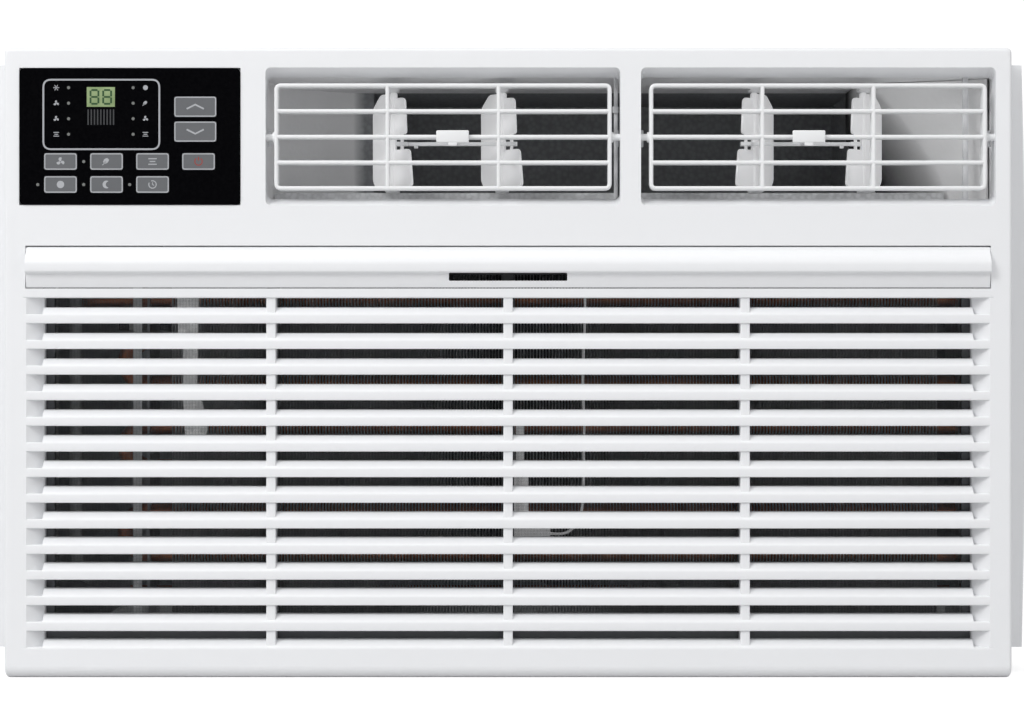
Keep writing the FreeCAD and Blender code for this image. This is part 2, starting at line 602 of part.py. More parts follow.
def led_display():
    """Two-digit display block, between the board and the lens."""
    x = CONTROL_X + DISPLAY_SHIFT_X
    z = DISPLAY_Z + DISPLAY_HEIGHT / 2 - 3.5 - DIGIT_HEIGHT / 2
    return box(x - DIGIT_WIDTH / 2, x + DIGIT_WIDTH / 2,
               BEZEL_FRONT_Y + LENS_THICKNESS + FIT_GAP, BOARD_FRONT_Y,
               z - DIGIT_HEIGHT / 2, z + DIGIT_HEIGHT / 2)


def indicator_lamps():
    """Light guides: eight behind the lens and four that reach the bezel's face."""
    lamps = []
    for number, (x, z) in enumerate(lamp_places()):
        start = BEZEL_FRONT_Y + (LENS_THICKNESS + FIT_GAP if number < 8 else 0)
        lamps.append(rod(LAMP_RADIUS, Vector(x, start, z), BOARD_FRONT_Y - start, Y_AXIS))
    return group(lamps)


def control_pcb():
    """Circuit board that carries the switches, lamps and display."""
    half_x = CONTROL_WIDTH / 2 - BOARD_MARGIN
    half_z = CONTROL_HEIGHT / 2 - BOARD_MARGIN
    return box(CONTROL_X - half_x, CONTROL_X + half_x, BOARD_FRONT_Y, BOARD_FRONT_Y + BOARD_THICKNESS,
               OUTLET_MIDDLE - half_z, OUTLET_MIDDLE + half_z)


def control_housing():
    """Tray behind the bezel, with a post under each corner of the board."""
    wall = HOUSING_WALL
    x0 = CONTROL_X - CONTROL_WIDTH / 2 - wall
    x1 = CONTROL_X + CONTROL_WIDTH / 2 + wall
    z0 = OUTLET_MIDDLE - CONTROL_HEIGHT / 2 - wall
    z1 = DUCT_TOP
    front = FACE_Y + PANEL_WALL
    board_back = BOARD_FRONT_Y + BOARD_THICKNESS
    rear = front + HOUSING_DEPTH
    tray = box(x0, x1, front, rear, z0, z1)
    tray = tray.cut(box(x0 + wall, x1 - wall, front - 1, rear - wall, z0 + wall, z1 - wall))
    posts = []
    for x in (x0 + wall + 5, x1 - wall - 5):
        for z in (z0 + wall + 8, z1 - wall - 8):
            posts.append(rod(3, Vector(x, board_back, z), rear - wall - board_back, Y_AXIS))
    return join([tray] + posts)


# ------------------------------------------------------- louvers and vanes

def pivot_x(louver_x, lean, place):
    """Where a vane turns: beside one of the two inner uprights (place -1 or 1)."""
    return louver_x + place * UPRIGHT_SPACING / 2 + lean * VANE_PIVOT_SHIFT


def louver(louver_x, lean):
    """Tilting frame of thin bars, with end pins and a lug above and below each vane."""
    half = LOUVER_WIDTH / 2
    low = OUTLET_MIDDLE - LOUVER_HEIGHT / 2
    high = OUTLET_MIDDLE + LOUVER_HEIGHT / 2
    bars = []
    pitch = (LOUVER_HEIGHT - LOUVER_BAR) / (LOUVER_ROWS - 1)
    for row in range(LOUVER_ROWS):
        z = low + row * pitch
        bars.append(box(louver_x - half, louver_x + half, LOUVER_FRONT_Y, LOUVER_REAR_Y, z, z + LOUVER_BAR))
    for number in range(LOUVER_UPRIGHTS):
        x = louver_x - half + number * UPRIGHT_SPACING
        bars.append(box(x, x + LOUVER_BAR, LOUVER_FRONT_Y, LOUVER_REAR_Y, low, high))
    for side in (-1, 1):
        start = Vector(louver_x + side * half, LOUVER_AXIS_Y, OUTLET_MIDDLE)
        bars.append(rod(LOUVER_PIN_RADIUS, start, LOUVER_SIDE_GAP + LOUVER_PIN_BITE, X_AXIS * side))
    holes = []
    for place in (-1, 1):
        x = pivot_x(louver_x, lean, place)
        for z in (low, high - LOUVER_BAR):
            bars.append(box(x - 4, x + 4, LOUVER_REAR_Y, VANE_PIVOT_Y + 3.5, z, z + LOUVER_BAR))
            holes.append(rod(VANE_PIN_RADIUS + RUNNING_CLEARANCE, Vector(x, VANE_PIVOT_Y, z - 1),
                             LOUVER_BAR + 2, Z_AXIS))
    return join(bars).cut(Part.makeCompound(holes))


def vane(louver_x, lean, place):
    """Upright vane with two lobes in front, a crank pin between them and two pivot pins."""
    x = pivot_x(louver_x, lean, place)
    notch_low = OUTLET_MIDDLE - VANE_NOTCH_BELOW
    notch_high = OUTLET_MIDDLE + VANE_NOTCH_ABOVE
    outline = [(-VANE_REAR, VANE_BOTTOM + 5), (-VANE_REAR + 2, VANE_BOTTOM + 1.5),
               (-VANE_REAR + 6, VANE_BOTTOM),
               (VANE_LOWER_FRONT, VANE_BOTTOM), (VANE_LOWER_FRONT - VANE_SLANT, notch_low),
               (VANE_NOTCH_START, notch_low), (VANE_NOTCH_START, notch_high),
               (VANE_UPPER_FRONT, notch_high), (VANE_UPPER_FRONT - VANE_SLANT / 2, VANE_TOP - 3),
               (3.2, VANE_TOP - 3), (3.2, VANE_TOP), (-VANE_REAR + 7, VANE_TOP), (-VANE_REAR, VANE_TOP - 8)]
    plate = prism_x([(-forward, z) for forward, z in outline], -VANE_THICKNESS / 2, VANE_THICKNESS / 2)
    barrel = rod(VANE_BARREL_RADIUS, Vector(0, 0, VANE_BOTTOM), VANE_TOP - VANE_BOTTOM, Z_AXIS)
    reach = VANE_END_GAP + LOUVER_BAR
    pin_low = rod(VANE_PIN_RADIUS, Vector(0, 0, VANE_BOTTOM - reach - 2), reach + 2, Z_AXIS)
    pin_high = rod(VANE_PIN_RADIUS, Vector(0, 0, VANE_TOP), reach + 0.5, Z_AXIS)
    crank = rod(CRANK_PIN_RADIUS, Vector(0, -CRANK_RADIUS, notch_low - 1), notch_high - notch_low + 2, Z_AXIS)
    whole = join([plate, barrel, pin_low, pin_high, crank])
    whole.rotate(Vector(0, 0, 0), Z_AXIS, lean * VANE_REST_ANGLE)
    whole.translate(Vector(x, VANE_PIVOT_Y, 0))
    return whole


def link_rod(louver_x, lean):
    """Rod that joins the two vanes' crank pins, each in a slot that lets it swing."""
    near = VANE_PIVOT_Y + CRANK_REST_Y + CRANK_PIN_RADIUS + CRANK_SLOT_CLEARANCE
    far = VANE_PIVOT_Y - CRANK_RADIUS - CRANK_PIN_RADIUS - CRANK_SLOT_CLEARANCE
    pads = []
    slots = []
    half_slot = CRANK_PIN_RADIUS + CRANK_SLOT_CLEARANCE
    for place in (-1, 1):
        x = pivot_x(louver_x, lean, place) + lean * CRANK_REST_X
        half_pad = half_slot + LINK_PAD_WALL + 0.8
        pads.append(box(x - half_pad, x + half_pad, far - LINK_PAD_WALL, near + LINK_PAD_WALL,
                        LINK_BOTTOM, LINK_TOP))
        slots.append(rounded_box(x - half_slot, x + half_slot, far, near, LINK_BOTTOM - 1, LINK_TOP + 1,
                                 CRANK_PIN_RADIUS, Z_AXIS))
    first = pivot_x(louver_x, lean, -1) + lean * CRANK_REST_X
    last = pivot_x(louver_x, lean, 1) + lean * CRANK_REST_X
    middle = (near + far) / 2
    pads.append(box(first, last, middle - LINK_WIDTH / 2, middle + LINK_WIDTH / 2, LINK_BOTTOM, LINK_TOP))
    nub = first + NUB_PLACE if lean > 0 else last - NUB_PLACE
    pads.append(box(nub - 1.2, nub + 1.2, middle - 1, middle + 1, LINK_BOTTOM - 1.4, LINK_BOTTOM))
    return join(pads).cut(Part.makeCompound(slots))


def vane_handle(louver_x, lean):
    """Finger tab that hugs the louver's middle bar and pushes the link rod sideways."""
    x = louver_x + lean * CRANK_REST_X
    half = HANDLE_WIDTH / 2
    front = LOUVER_FRONT_Y - HANDLE_GAP - HANDLE_THICKNESS
    top = OUTLET_MIDDLE + LOUVER_BAR / 2 + LINK_GAP + HANDLE_THICKNESS
    middle = VANE_PIVOT_Y + (CRANK_REST_Y - CRANK_RADIUS) / 2
    plate = rounded_box(x - half, x + half, front, front + HANDLE_THICKNESS, LINK_BOTTOM, top, 1.0, Y_AXIS)
    upper = box(x - half + 2, x + half - 2, front + 1, LOUVER_REAR_Y - 1, top - HANDLE_THICKNESS, top)
    lower = box(x - HANDLE_NECK, x + HANDLE_NECK, front + 1, middle - LINK_WIDTH / 2, LINK_BOTTOM, LINK_TOP)
    tab = box(x - HANDLE_NECK, x + HANDLE_NECK, front + 0.3, front + HANDLE_THICKNESS, LINK_BOTTOM - 1.8, LINK_BOTTOM + 1)
    return join([plate, upper, lower, tab])


# --------------------------------------------------------- door and filter

def filter_door():
    """Flap over the filter's slot: hinge pins on top, a ridge and a finger slot below."""
    half = GRILLE_HALF - 0.1
    radius = DOOR_TOP_RADIUS
    bottom = DOOR_POCKET_BOTTOM + DOOR_GAP
    ridge_y = FACE_Y - DOOR_RIDGE
    back = FACE_Y + DOOR_BACK
    points = [Vector(-half, y, z) for y, z in (
        (DOOR_AXIS_Y - radius, DOOR_AXIS_Z), (FACE_Y - 3.5, bottom + 17.5), (ridge_y, bottom + 14.5),
        (ridge_y, bottom + 9.0), (FACE_Y - 2.0, bottom + 8.0), (FACE_Y - 1.6, bottom + 6.0),
        (FACE_Y, bottom), (back, bottom), (back, DOOR_AXIS_Z - 2.0), (DOOR_AXIS_Y + radius, DOOR_AXIS_Z))]
    edges = [line(start, end) for start, end in zip(points, points[1:])]
    edges.append(arc(points[-1], Vector(-half, DOOR_AXIS_Y, DOOR_AXIS_Z + radius), points[0]))
    door = Part.Face(Part.Wire(edges)).extrude(Vector(2 * half, 0, 0))
    pins = []
    for side in (-1, 1):
        pins.append(rod(DOOR_PIN_RADIUS, Vector(side * half, DOOR_AXIS_Y, DOOR_AXIS_Z),
                        DOOR_GAP + DOOR_PIN_LENGTH, X_AXIS * side))
    slot_top = bottom + 8.7
    slot = box(-FINGER_SLOT_WIDTH / 2, FINGER_SLOT_WIDTH / 2, ridge_y - 1, back + 1,
               slot_top - FINGER_SLOT_HEIGHT, slot_top)
    return join([door] + pins).cut(slot)


def filter_windows():
    """Openings of the filter's frame, between its bars."""
    bars = [-FILTER_HALF + FILTER_BAR / 2]
    bars += [rib_x(number) for number in range(GRILLE_RIBS)]
    bars.append(FILTER_HALF - FILTER_BAR / 2)
    windows = []
    for left, right in zip(bars, bars[1:]):
        windows.append((left + FILTER_BAR / 2, right - FILTER_BAR / 2))
    return windows


def filter_frame():
    """Thin frame of the slide-out filter, grooved for its mesh."""
    frame = box(-FILTER_HALF, FILTER_HALF, FILTER_FRONT_Y, FILTER_REAR_Y, FILTER_BOTTOM, FILTER_TOP)
    cuts = []
    for left, right in filter_windows():
        cuts.append(box(left, right, FILTER_FRONT_Y - 1, FILTER_REAR_Y + 1,
                        FILTER_BOTTOM + FILTER_BAR, FILTER_TOP - FILTER_BAR * 1.5))
    return frame.cut(Part.makeCompound(cuts + [filter_mesh()]))


def filter_mesh():
    """Sheet of woven mesh that the frame holds by its edges."""
    middle = (FILTER_FRONT_Y + FILTER_REAR_Y) / 2
    return box(-FILTER_HALF + FILTER_BAR - MESH_BITE, FILTER_HALF - FILTER_BAR + MESH_BITE,
               middle - MESH_THICKNESS / 2, middle + MESH_THICKNESS / 2,
               FILTER_BOTTOM + FILTER_BAR - MESH_BITE, FILTER_TOP - FILTER_BAR * 1.5 + MESH_BITE)


# ------------------------------------------------------ air path and blower

def duct_outline():
    """Inside of the outlet duct seen from above: wide mouth, curved cheeks, narrower throat."""
    left = OUTLETS_LEFT - 1
    right = OUTLETS_RIGHT + 1
    throat_left = left + 58
    throat_right = right - 72
    cheek_start = DUCT_FRONT_Y + 14
    rear = SCROLL_REAR_Y - SCROLL_WALL
    places = [Vector(left, DUCT_FRONT_Y - 2 * DUCT_WALL, 0), Vector(left, cheek_start, 0),
              Vector(throat_left, SCROLL_FRONT_Y, 0), Vector(throat_left, rear, 0),
              Vector(throat_right, rear, 0), Vector(throat_right, SCROLL_FRONT_Y, 0),
              Vector(right, cheek_start, 0), Vector(right, DUCT_FRONT_Y - 2 * DUCT_WALL, 0)]
    bulge = Vector(14, -14, 0)
    mirror_bulge = Vector(-14, -14, 0)
    left_middle = (places[1] + places[2]) * 0.5 - bulge
    right_middle = (places[5] + places[6]) * 0.5 - mirror_bulge
    return Part.Wire([line(places[0], places[1]), arc(places[1], left_middle, places[2]),
                      line(places[2], places[3]), line(places[3], places[4]), line(places[4], places[5]),
                      arc(places[5], right_middle, places[6]), line(places[6], places[7]),
                      line(places[7], places[0])])


def air_outlet_duct():
    """Foam duct that turns the blower's air forward to both outlets."""
    inside = duct_outline()
    outside = inside.makeOffset2D(DUCT_WALL)
    shell = Part.Face(outside).extrude(Vector(0, 0, DUCT_TOP - DUCT_BOTTOM))
    hollow = Part.Face(inside).extrude(Vector(0, 0, DUCT_TOP - DUCT_BOTTOM - 2 * DUCT_WALL))
    hollow.translate(Vector(0, 0, DUCT_WALL))
    duct = shell.cut(hollow)
    duct.translate(Vector(0, 0, DUCT_BOTTOM))
    duct = duct.cut(box(-OVERALL_WIDTH, OVERALL_WIDTH, -OVERALL_DEPTH, DUCT_FRONT_Y, 0, PANEL_HEIGHT))
    x0, x1 = scroll_mouth()
    duct = duct.cut(box(x0, x1, SCROLL_FRONT_Y + SCROLL_WALL, SCROLL_REAR_Y - SCROLL_WALL,
                        DUCT_BOTTOM - 1, DUCT_BOTTOM + DUCT_WALL + 1))
    apron = box(EVAPORATOR_LEFT + 4, EVAPORATOR_RIGHT - 4, EVAPORATOR_REAR_Y - 4, EVAPORATOR_REAR_Y,
                EVAPORATOR_TOP + SEAL_THICKNESS, DUCT_BOTTOM)
    return join([duct, apron])


def scroll_mouth():
    """Left and right edges of the blower's outlet."""
    return SHAFT_X - SCROLL_END + 10, SHAFT_X + SCROLL_END


def scroll_outline(grow):
    """Spiral of the blower housing in the XZ plane, from its tongue round to the outlet."""
    start = math.radians(135)
    turn = math.radians(225)
    tongue = WHEEL_RADIUS + SCROLL_GAP

    def point(share):
        angle = start + turn * share
        radius = tongue + grow + (SCROLL_END - tongue) * share
        return Vector(SHAFT_X + radius * math.cos(angle), 0, SHAFT_Z + radius * math.sin(angle))

    left, right = scroll_mouth()
    top = DUCT_BOTTOM
    spiral = Part.BSplineCurve()
    spiral.interpolate([point(step / 12) for step in range(13)])
    corner_right = Vector(right + grow, 0, top)
    corner_left = Vector(left - grow, 0, top)
    return Part.Wire([spiral.toShape(), line(point(1), corner_right), line(corner_right, corner_left),
                      line(corner_left, point(0))])


def blower_scroll():
    """Spiral housing of the blower, open at the top, with a round inlet in front."""
    width = SCROLL_WIDTH - 2 * SCROLL_WALL
    shell = Part.Face(scroll_outline(SCROLL_WALL)).extrude(Vector(0, SCROLL_WIDTH, 0))
    hollow = Part.Face(scroll_outline(0)).extrude(Vector(0, width, 0))
    hollow.translate(Vector(0, SCROLL_WALL, 0))
    scroll = shell.cut(hollow)
    scroll.translate(Vector(0, SCROLL_FRONT_Y, 0))
    inlet = rod(WHEEL_RADIUS - INLET_LAP, Vector(SHAFT_X, SCROLL_FRONT_Y - 1, SHAFT_Z), SCROLL_WALL + 2, Y_AXIS)
    hub_hole = rod(SHAFT_RADIUS + 8, Vector(SHAFT_X, SCROLL_REAR_Y - SCROLL_WALL - 1, SHAFT_Z),
                   SCROLL_WALL + 2, Y_AXIS)
    return scroll.cut(Part.makeCompound([inlet, hub_hole]))


def blower_wheel():
    """Drum of forward curved blades on a back plate, with a ring at its open end."""
    front = SCROLL_FRONT_Y + SCROLL_WALL + 4
    centre = Vector(SHAFT_X, front, SHAFT_Z)
    ring = rod(WHEEL_RADIUS, centre, 3, Y_AXIS).cut(rod(WHEEL_RADIUS - 12, centre, 3, Y_AXIS))
    back = rod(WHEEL_RADIUS, centre + Vector(0, WHEEL_WIDTH - 3, 0), 3, Y_AXIS)
    hub = rod(SHAFT_RADIUS + 6, centre + Vector(0, WHEEL_WIDTH - 20, 0), 20, Y_AXIS)
    parts = [ring, back, hub]
    for number in range(WHEEL_BLADES):
        blade = box(WHEEL_RADIUS - 13, WHEEL_RADIUS - 1, 2, WHEEL_WIDTH - 2, -0.6, 0.6)
        blade.rotate(Vector(WHEEL_RADIUS - 7, 0, 0), Y_AXIS, 25)
        blade.rotate(Vector(0, 0, 0), Y_AXIS, number * 360 / WHEEL_BLADES)
        blade.translate(centre)
        parts.append(blade)
    return join(parts).cut(rod(SHAFT_RADIUS + RUNNING_CLEARANCE, centre, WHEEL_WIDTH, Y_AXIS))


def fan_shaft():
    """Steel shaft from the blower wheel through the motor to the condenser fan."""
    start = SCROLL_FRONT_Y + SCROLL_WALL + 4 + WHEEL_WIDTH - 20
    end = FAN_FRONT_Y + FAN_DEPTH
    return rod(SHAFT_RADIUS, Vector(SHAFT_X, start, SHAFT_Z), end - start, Y_AXIS)


def fan_motor():
    """Double-shaft motor: finned can with two stepped end bells."""
    centre = Vector(SHAFT_X, MOTOR_FRONT_Y, SHAFT_Z)
    can = rod(MOTOR_RADIUS, centre + Vector(0, 10, 0), MOTOR_LENGTH - 20, Y_AXIS)
    bells = rod(MOTOR_RADIUS - 6, centre, MOTOR_LENGTH, Y_AXIS)
    bosses = rod(SHAFT_RADIUS + 7, centre - Vector(0, 5, 0), MOTOR_LENGTH + 10, Y_AXIS)
    bore = rod(SHAFT_RADIUS + RUNNING_CLEARANCE, centre - Vector(0, 6, 0), MOTOR_LENGTH + 12, Y_AXIS)
    return join([can, bells, bosses]).cut(bore)


def motor_bracket():
    """Folded steel stand that cradles the motor."""
    wide = MOTOR_RADIUS + 8
    floor = BASE_FLOOR
    front = MOTOR_FRONT_Y + 14
    rear = MOTOR_REAR_Y - 14
    parts = [box(SHAFT_X - wide, SHAFT_X + wide, front, rear, floor, floor + 2)]
    for y in (front, rear - 2):
        parts.append(box(SHAFT_X - wide, SHAFT_X + wide, y, y + 2, floor, SHAFT_Z - 8))
    seat = rod(MOTOR_RADIUS + FIT_GAP, Vector(SHAFT_X, front - 1, SHAFT_Z), rear - front + 2, Y_AXIS)
    return join(parts).cut(seat)


def bulkhead():
    """Steel wall between the room side and the outdoor side."""
    half = BASE_HALF - BASE_SHEET - FIT_GAP
    plate = box(-half, half, BULKHEAD_Y, BULKHEAD_Y + SHEET, BASE_FLOOR + 0.3, CABINET_TOP - 3)
    hole = rod(SHAFT_RADIUS + 12, Vector(SHAFT_X, BULKHEAD_Y - 1, SHAFT_Z), 4, Y_AXIS)
    pass_through = box(COMPRESSOR_X - 45, COMPRESSOR_X + 50, BULKHEAD_Y - 1, BULKHEAD_Y + 3, 205, 250)
    return plate.cut(Part.makeCompound([hole, pass_through]))


def condenser_fan():
    """Axial fan whose blades end in a water slinger ring."""
    centre = Vector(SHAFT_X, FAN_FRONT_Y, SHAFT_Z)
    hub = rod(28, centre, FAN_DEPTH, Y_AXIS)
    ring = rod(FAN_RADIUS + SLINGER_WALL, centre + Vector(0, FAN_DEPTH - 12, 0), 10, Y_AXIS)
    ring = ring.cut(rod(FAN_RADIUS, centre + Vector(0, FAN_DEPTH - 13, 0), 12, Y_AXIS))
    parts = [hub, ring]
    for number in range(FAN_BLADES):
        blade = box(24, FAN_RADIUS + 1, -1.2, 1.2, -34, 34)
        blade.rotate(Vector(0, 0, 0), X_AXIS, -68)
        keep = rod(FAN_RADIUS + 2, Vector(0, -FAN_DEPTH / 2 + 1, 0), FAN_DEPTH - 4, Y_AXIS)
        blade = blade.common(keep)
        blade.translate(Vector(0, FAN_DEPTH / 2, 0))
        blade.rotate(Vector(0, 0, 0), Y_AXIS, number * 360 / FAN_BLADES)
        blade.translate(centre)
        parts.append(blade)
    return join(parts).cut(rod(SHAFT_RADIUS + RUNNING_CLEARANCE, centre, FAN_DEPTH, Y_AXIS))


def condenser_shroud():
    """Box between the condenser and the fan, with a round orifice for the fan."""
    half = BASE_HALF - 4
    low = BASE_FLOOR + SEAT_GAP
    high = CABINET_TOP - 6
    front = FAN_FRONT_Y + FAN_DEPTH / 2
    wall = SHROUD_WALL
    shroud = box(-half, half, front, CONDENSER_FRONT_Y, low, high)
    shroud = shroud.cut(box(-half + wall, half - wall, front + wall, CONDENSER_FRONT_Y + 1,
                            low + wall, high - wall))
    orifice = rod(FAN_RADIUS + SLINGER_WALL + SHROUD_GAP, Vector(SHAFT_X, front - 1, SHAFT_Z),
                  wall + 2, Y_AXIS)
    return shroud.cut(orifice)


# -------------------------------------------------------------------- coils

def coil_columns(front, rear):
    """Depth of each of the two tube columns of a coil."""
    return (front + (rear - front) * 0.27, front + (rear - front) * 0.73)


def coil_rows(bottom, top):
    """Heights of the tube rows of a coil: an even number, centred."""
    count = int((top - bottom) / TUBE_PITCH / 2) * 2
    first = (top + bottom) / 2 - (count - 1) * TUBE_PITCH / 2
    return [first + row * TUBE_PITCH for row in range(count)]


def coil_tubes(left, right, front, rear, bottom, top):
    """One serpentine tube per column, bending outside the end plates."""
    tubes = []
    bend = TUBE_PITCH / 2 - 0.01
    reach = COIL_PLATE + 2 + TUBE_PITCH / 2
    for y in coil_columns(front, rear):
        rows = coil_rows(bottom, top)
        points = [Vector(left - reach, y, rows[0])]
        for number, z in enumerate(rows):
            side = right + reach if number % 2 == 0 else left - reach
            points.append(Vector(side, y, z))
            if number + 1 < len(rows):
                points.append(Vector(side, y, rows[number + 1]))
        tubes.append(bent_tube(points, TUBE_RADIUS, bend))
    return tubes


def tube_holes(left, right, front, rear, bottom, top, clearance):
    """Straight cutters where the tubes pass through fins and plates."""
    holes = []
    for y in coil_columns(front, rear):
        for z in coil_rows(bottom, top):
            holes.append(rod(TUBE_RADIUS + clearance, Vector(left, y, z), right - left, X_AXIS))
    return Part.makeCompound(holes)


def coil_fins(left, right, front, rear, bottom, top):
    """Stack of thin fins with a hole for each tube."""
    fins = []
    count = int((right - left - 2 * FIN_PITCH / 2) / FIN_PITCH)
    first = (left + right) / 2 - (count - 1) * FIN_PITCH / 2
    plate = box(0, FIN_THICKNESS, front, rear, bottom, top)
    plate = plate.cut(tube_holes(-1, FIN_THICKNESS + 1, front, rear, bottom, top, RUNNING_CLEARANCE))
    for number in range(count):
        fin = plate.copy()
        fin.translate(Vector(first + number * FIN_PITCH, 0, 0))
        fins.append(fin)
    return group(fins)


def coil_plates(left, right, front, rear, bottom, top):
    """Two steel end plates that hold a coil's tubes."""
    plates = []
    for x in (left - COIL_PLATE, right):
        plate = box(x, x + COIL_PLATE, front - 1, rear + 1, bottom, top)
        plates.append(plate.cut(tube_holes(x - 1, x + COIL_PLATE + 1, front, rear, bottom, top,
                                           RUNNING_CLEARANCE)))
    return plates


def evaporator_span():
    """Left, right, front, rear, bottom and top of the evaporator's finned part."""
    return (EVAPORATOR_LEFT + COIL_PLATE, EVAPORATOR_RIGHT - COIL_PLATE,
            EVAPORATOR_FRONT_Y, EVAPORATOR_REAR_Y, EVAPORATOR_BOTTOM, EVAPORATOR_TOP)


def condenser_span():
    """Left, right, front, rear, bottom and top of the condenser's finned part."""
    half = CABINET_HALF - CONDENSER_SIDE_GAP
    return (-half, half, CONDENSER_FRONT_Y + 1, CONDENSER_REAR_Y - 1, BASE_FLOOR + SEAT_GAP, CABINET_TOP - 10)


def evaporator_seal():
    """Foam strip that closes the gap between the evaporator and the duct."""
    return box(EVAPORATOR_LEFT + 4, EVAPORATOR_RIGHT - 4, EVAPORATOR_FRONT_Y + 8, EVAPORATOR_REAR_Y,
               EVAPORATOR_TOP, EVAPORATOR_TOP + SEAL_THICKNESS)


def drain_pan():
    """Tray under the evaporator with two ledges that carry it."""
    x0 = EVAPORATOR_LEFT - 22
    x1 = EVAPORATOR_RIGHT + 16
    y0 = FILTER_REAR_Y + FILTER_GAP + GUIDE_WALL + 0.3
    y1 = EVAPORATOR_REAR_Y + 12
    wall = PAN_WALL
    pan = box(x0, x1, y0, y1, PAN_BOTTOM, PAN_BOTTOM + PAN_HEIGHT)
    pan = pan.cut(box(x0 + wall, x1 - wall, y0 + wall, y1 - wall,
                      PAN_BOTTOM + wall, PAN_BOTTOM + PAN_HEIGHT + 1))
    ledges = []
    for x in (EVAPORATOR_LEFT, EVAPORATOR_RIGHT - 20):
        ledges.append(box(x, x + 20, y0 + wall, y1 - wall, PAN_BOTTOM + wall, EVAPORATOR_BOTTOM))
    return join([pan] + ledges)


def room_thermistor():
    """Plastic clip on the front of the fins that holds the sensor's probe."""
    y = EVAPORATOR_FRONT_Y
    clip = box(2, 12, y - 5, y, 84, 117)
    foot = box(2, 25, y - 4, y, 80, 86)
    probe = rod(2.4, Vector(7, y - 6.0, 90), 60, Z_AXIS)
    return join([clip, foot, probe])


# -------------------------------------------------------------- compressor

def compressor():
    """Welded steel shell with a domed top and bottom, three feet and its accumulator."""
    base = COMPRESSOR_FOOT_Z
    centre = Vector(COMPRESSOR_X, COMPRESSOR_Y, base + 4)
    shell = rod(COMPRESSOR_RADIUS, centre, COMPRESSOR_HEIGHT, Z_AXIS)
    rims = [e for e in shell.Edges if isinstance(e.Curve, Part.Circle)]
    shell = shell.makeFillet(22, rims)
    parts = [shell, rod(24, centre - Vector(0, 0, 4), 12, Z_AXIS)]
    for x, y in foot_places():
        foot = rod(13, Vector(x, y, base), 4, Z_AXIS)
        arm = box(0, COMPRESSOR_FOOT_RADIUS, -12, 12, base, base + 4)
        arm.rotate(Vector(0, 0, 0), Z_AXIS, math.degrees(math.atan2(y - COMPRESSOR_Y, x - COMPRESSOR_X)))
        arm.translate(Vector(COMPRESSOR_X, COMPRESSOR_Y, 0))
        parts += [foot, arm]
    store_x = COMPRESSOR_X + COMPRESSOR_RADIUS + ACCUMULATOR_RADIUS + 4
    store = rod(ACCUMULATOR_RADIUS, Vector(store_x, COMPRESSOR_Y, base + 60), ACCUMULATOR_HEIGHT, Z_AXIS)
    store = store.makeFillet(12, [e for e in store.Edges if isinstance(e.Curve, Part.Circle)])
    strap = box(COMPRESSOR_X + 10, store_x, COMPRESSOR_Y - 8, COMPRESSOR_Y + 8, base + 110, base + 124)
    top_stub = rod(6, centre + Vector(0, 0, COMPRESSOR_HEIGHT - 2), 8, Z_AXIS)
    body = join(parts + [store, strap, top_stub])
    holes = [rod(8, Vector(x, y, base - 1), 6, Z_AXIS) for x, y in foot_places()]
    return body.cut(Part.makeCompound(holes))


def foot_places():
    """Where the compressor's three feet stand."""
    places = []
    for number in range(3):
        angle = math.radians(90 + 120 * number)
        places.append((COMPRESSOR_X + COMPRESSOR_FOOT_RADIUS * math.cos(angle),
                       COMPRESSOR_Y + COMPRESSOR_FOOT_RADIUS * math.sin(angle)))
    return places


def compressor_grommets():
    """Rubber mounts, each with a waist that sits in a foot's hole."""
    mounts = []
    for x, y in foot_places():
        low = rod(12, Vector(x, y, BASE_FLOOR), COMPRESSOR_FOOT_Z - BASE_FLOOR, Z_AXIS)
        waist = rod(7.9, Vector(x, y, COMPRESSOR_FOOT_Z - 1), 6, Z_AXIS)
        high = rod(12, Vector(x, y, COMPRESSOR_FOOT_Z + 4), 4, Z_AXIS)
        hole = rod(4.05, Vector(x, y, BASE_FLOOR - 1), 30, Z_AXIS)
        mounts.append(join([low, waist, high]).cut(hole))
    return group(mounts)


def compressor_bolts():
    """Studs with a washer and nut that hold the rubber mounts down."""
    bolts = []
    for x, y in foot_places():
        stud = rod(4, Vector(x, y, BASE_FLOOR), COMPRESSOR_FOOT_Z + 16 - BASE_FLOOR, Z_AXIS)
        washer = rod(9, Vector(x, y, COMPRESSOR_FOOT_Z + 8), 1.6, Z_AXIS)
        nut = hexagon(x, y, COMPRESSOR_FOOT_Z + 9.6, 6.5, 13)
        bolts.append(join([stud, washer, nut]))
    return group(bolts)


def hexagon(x, y, z, height, across):
    """Nut or bolt head, its axis along Z."""
    radius = across / math.sqrt(3)
    outline = [(x + radius * math.cos(math.radians(60 * n)), y + radius * math.sin(math.radians(60 * n)))
               for n in range(6)]
    return prism_z(outline, z, z + height)


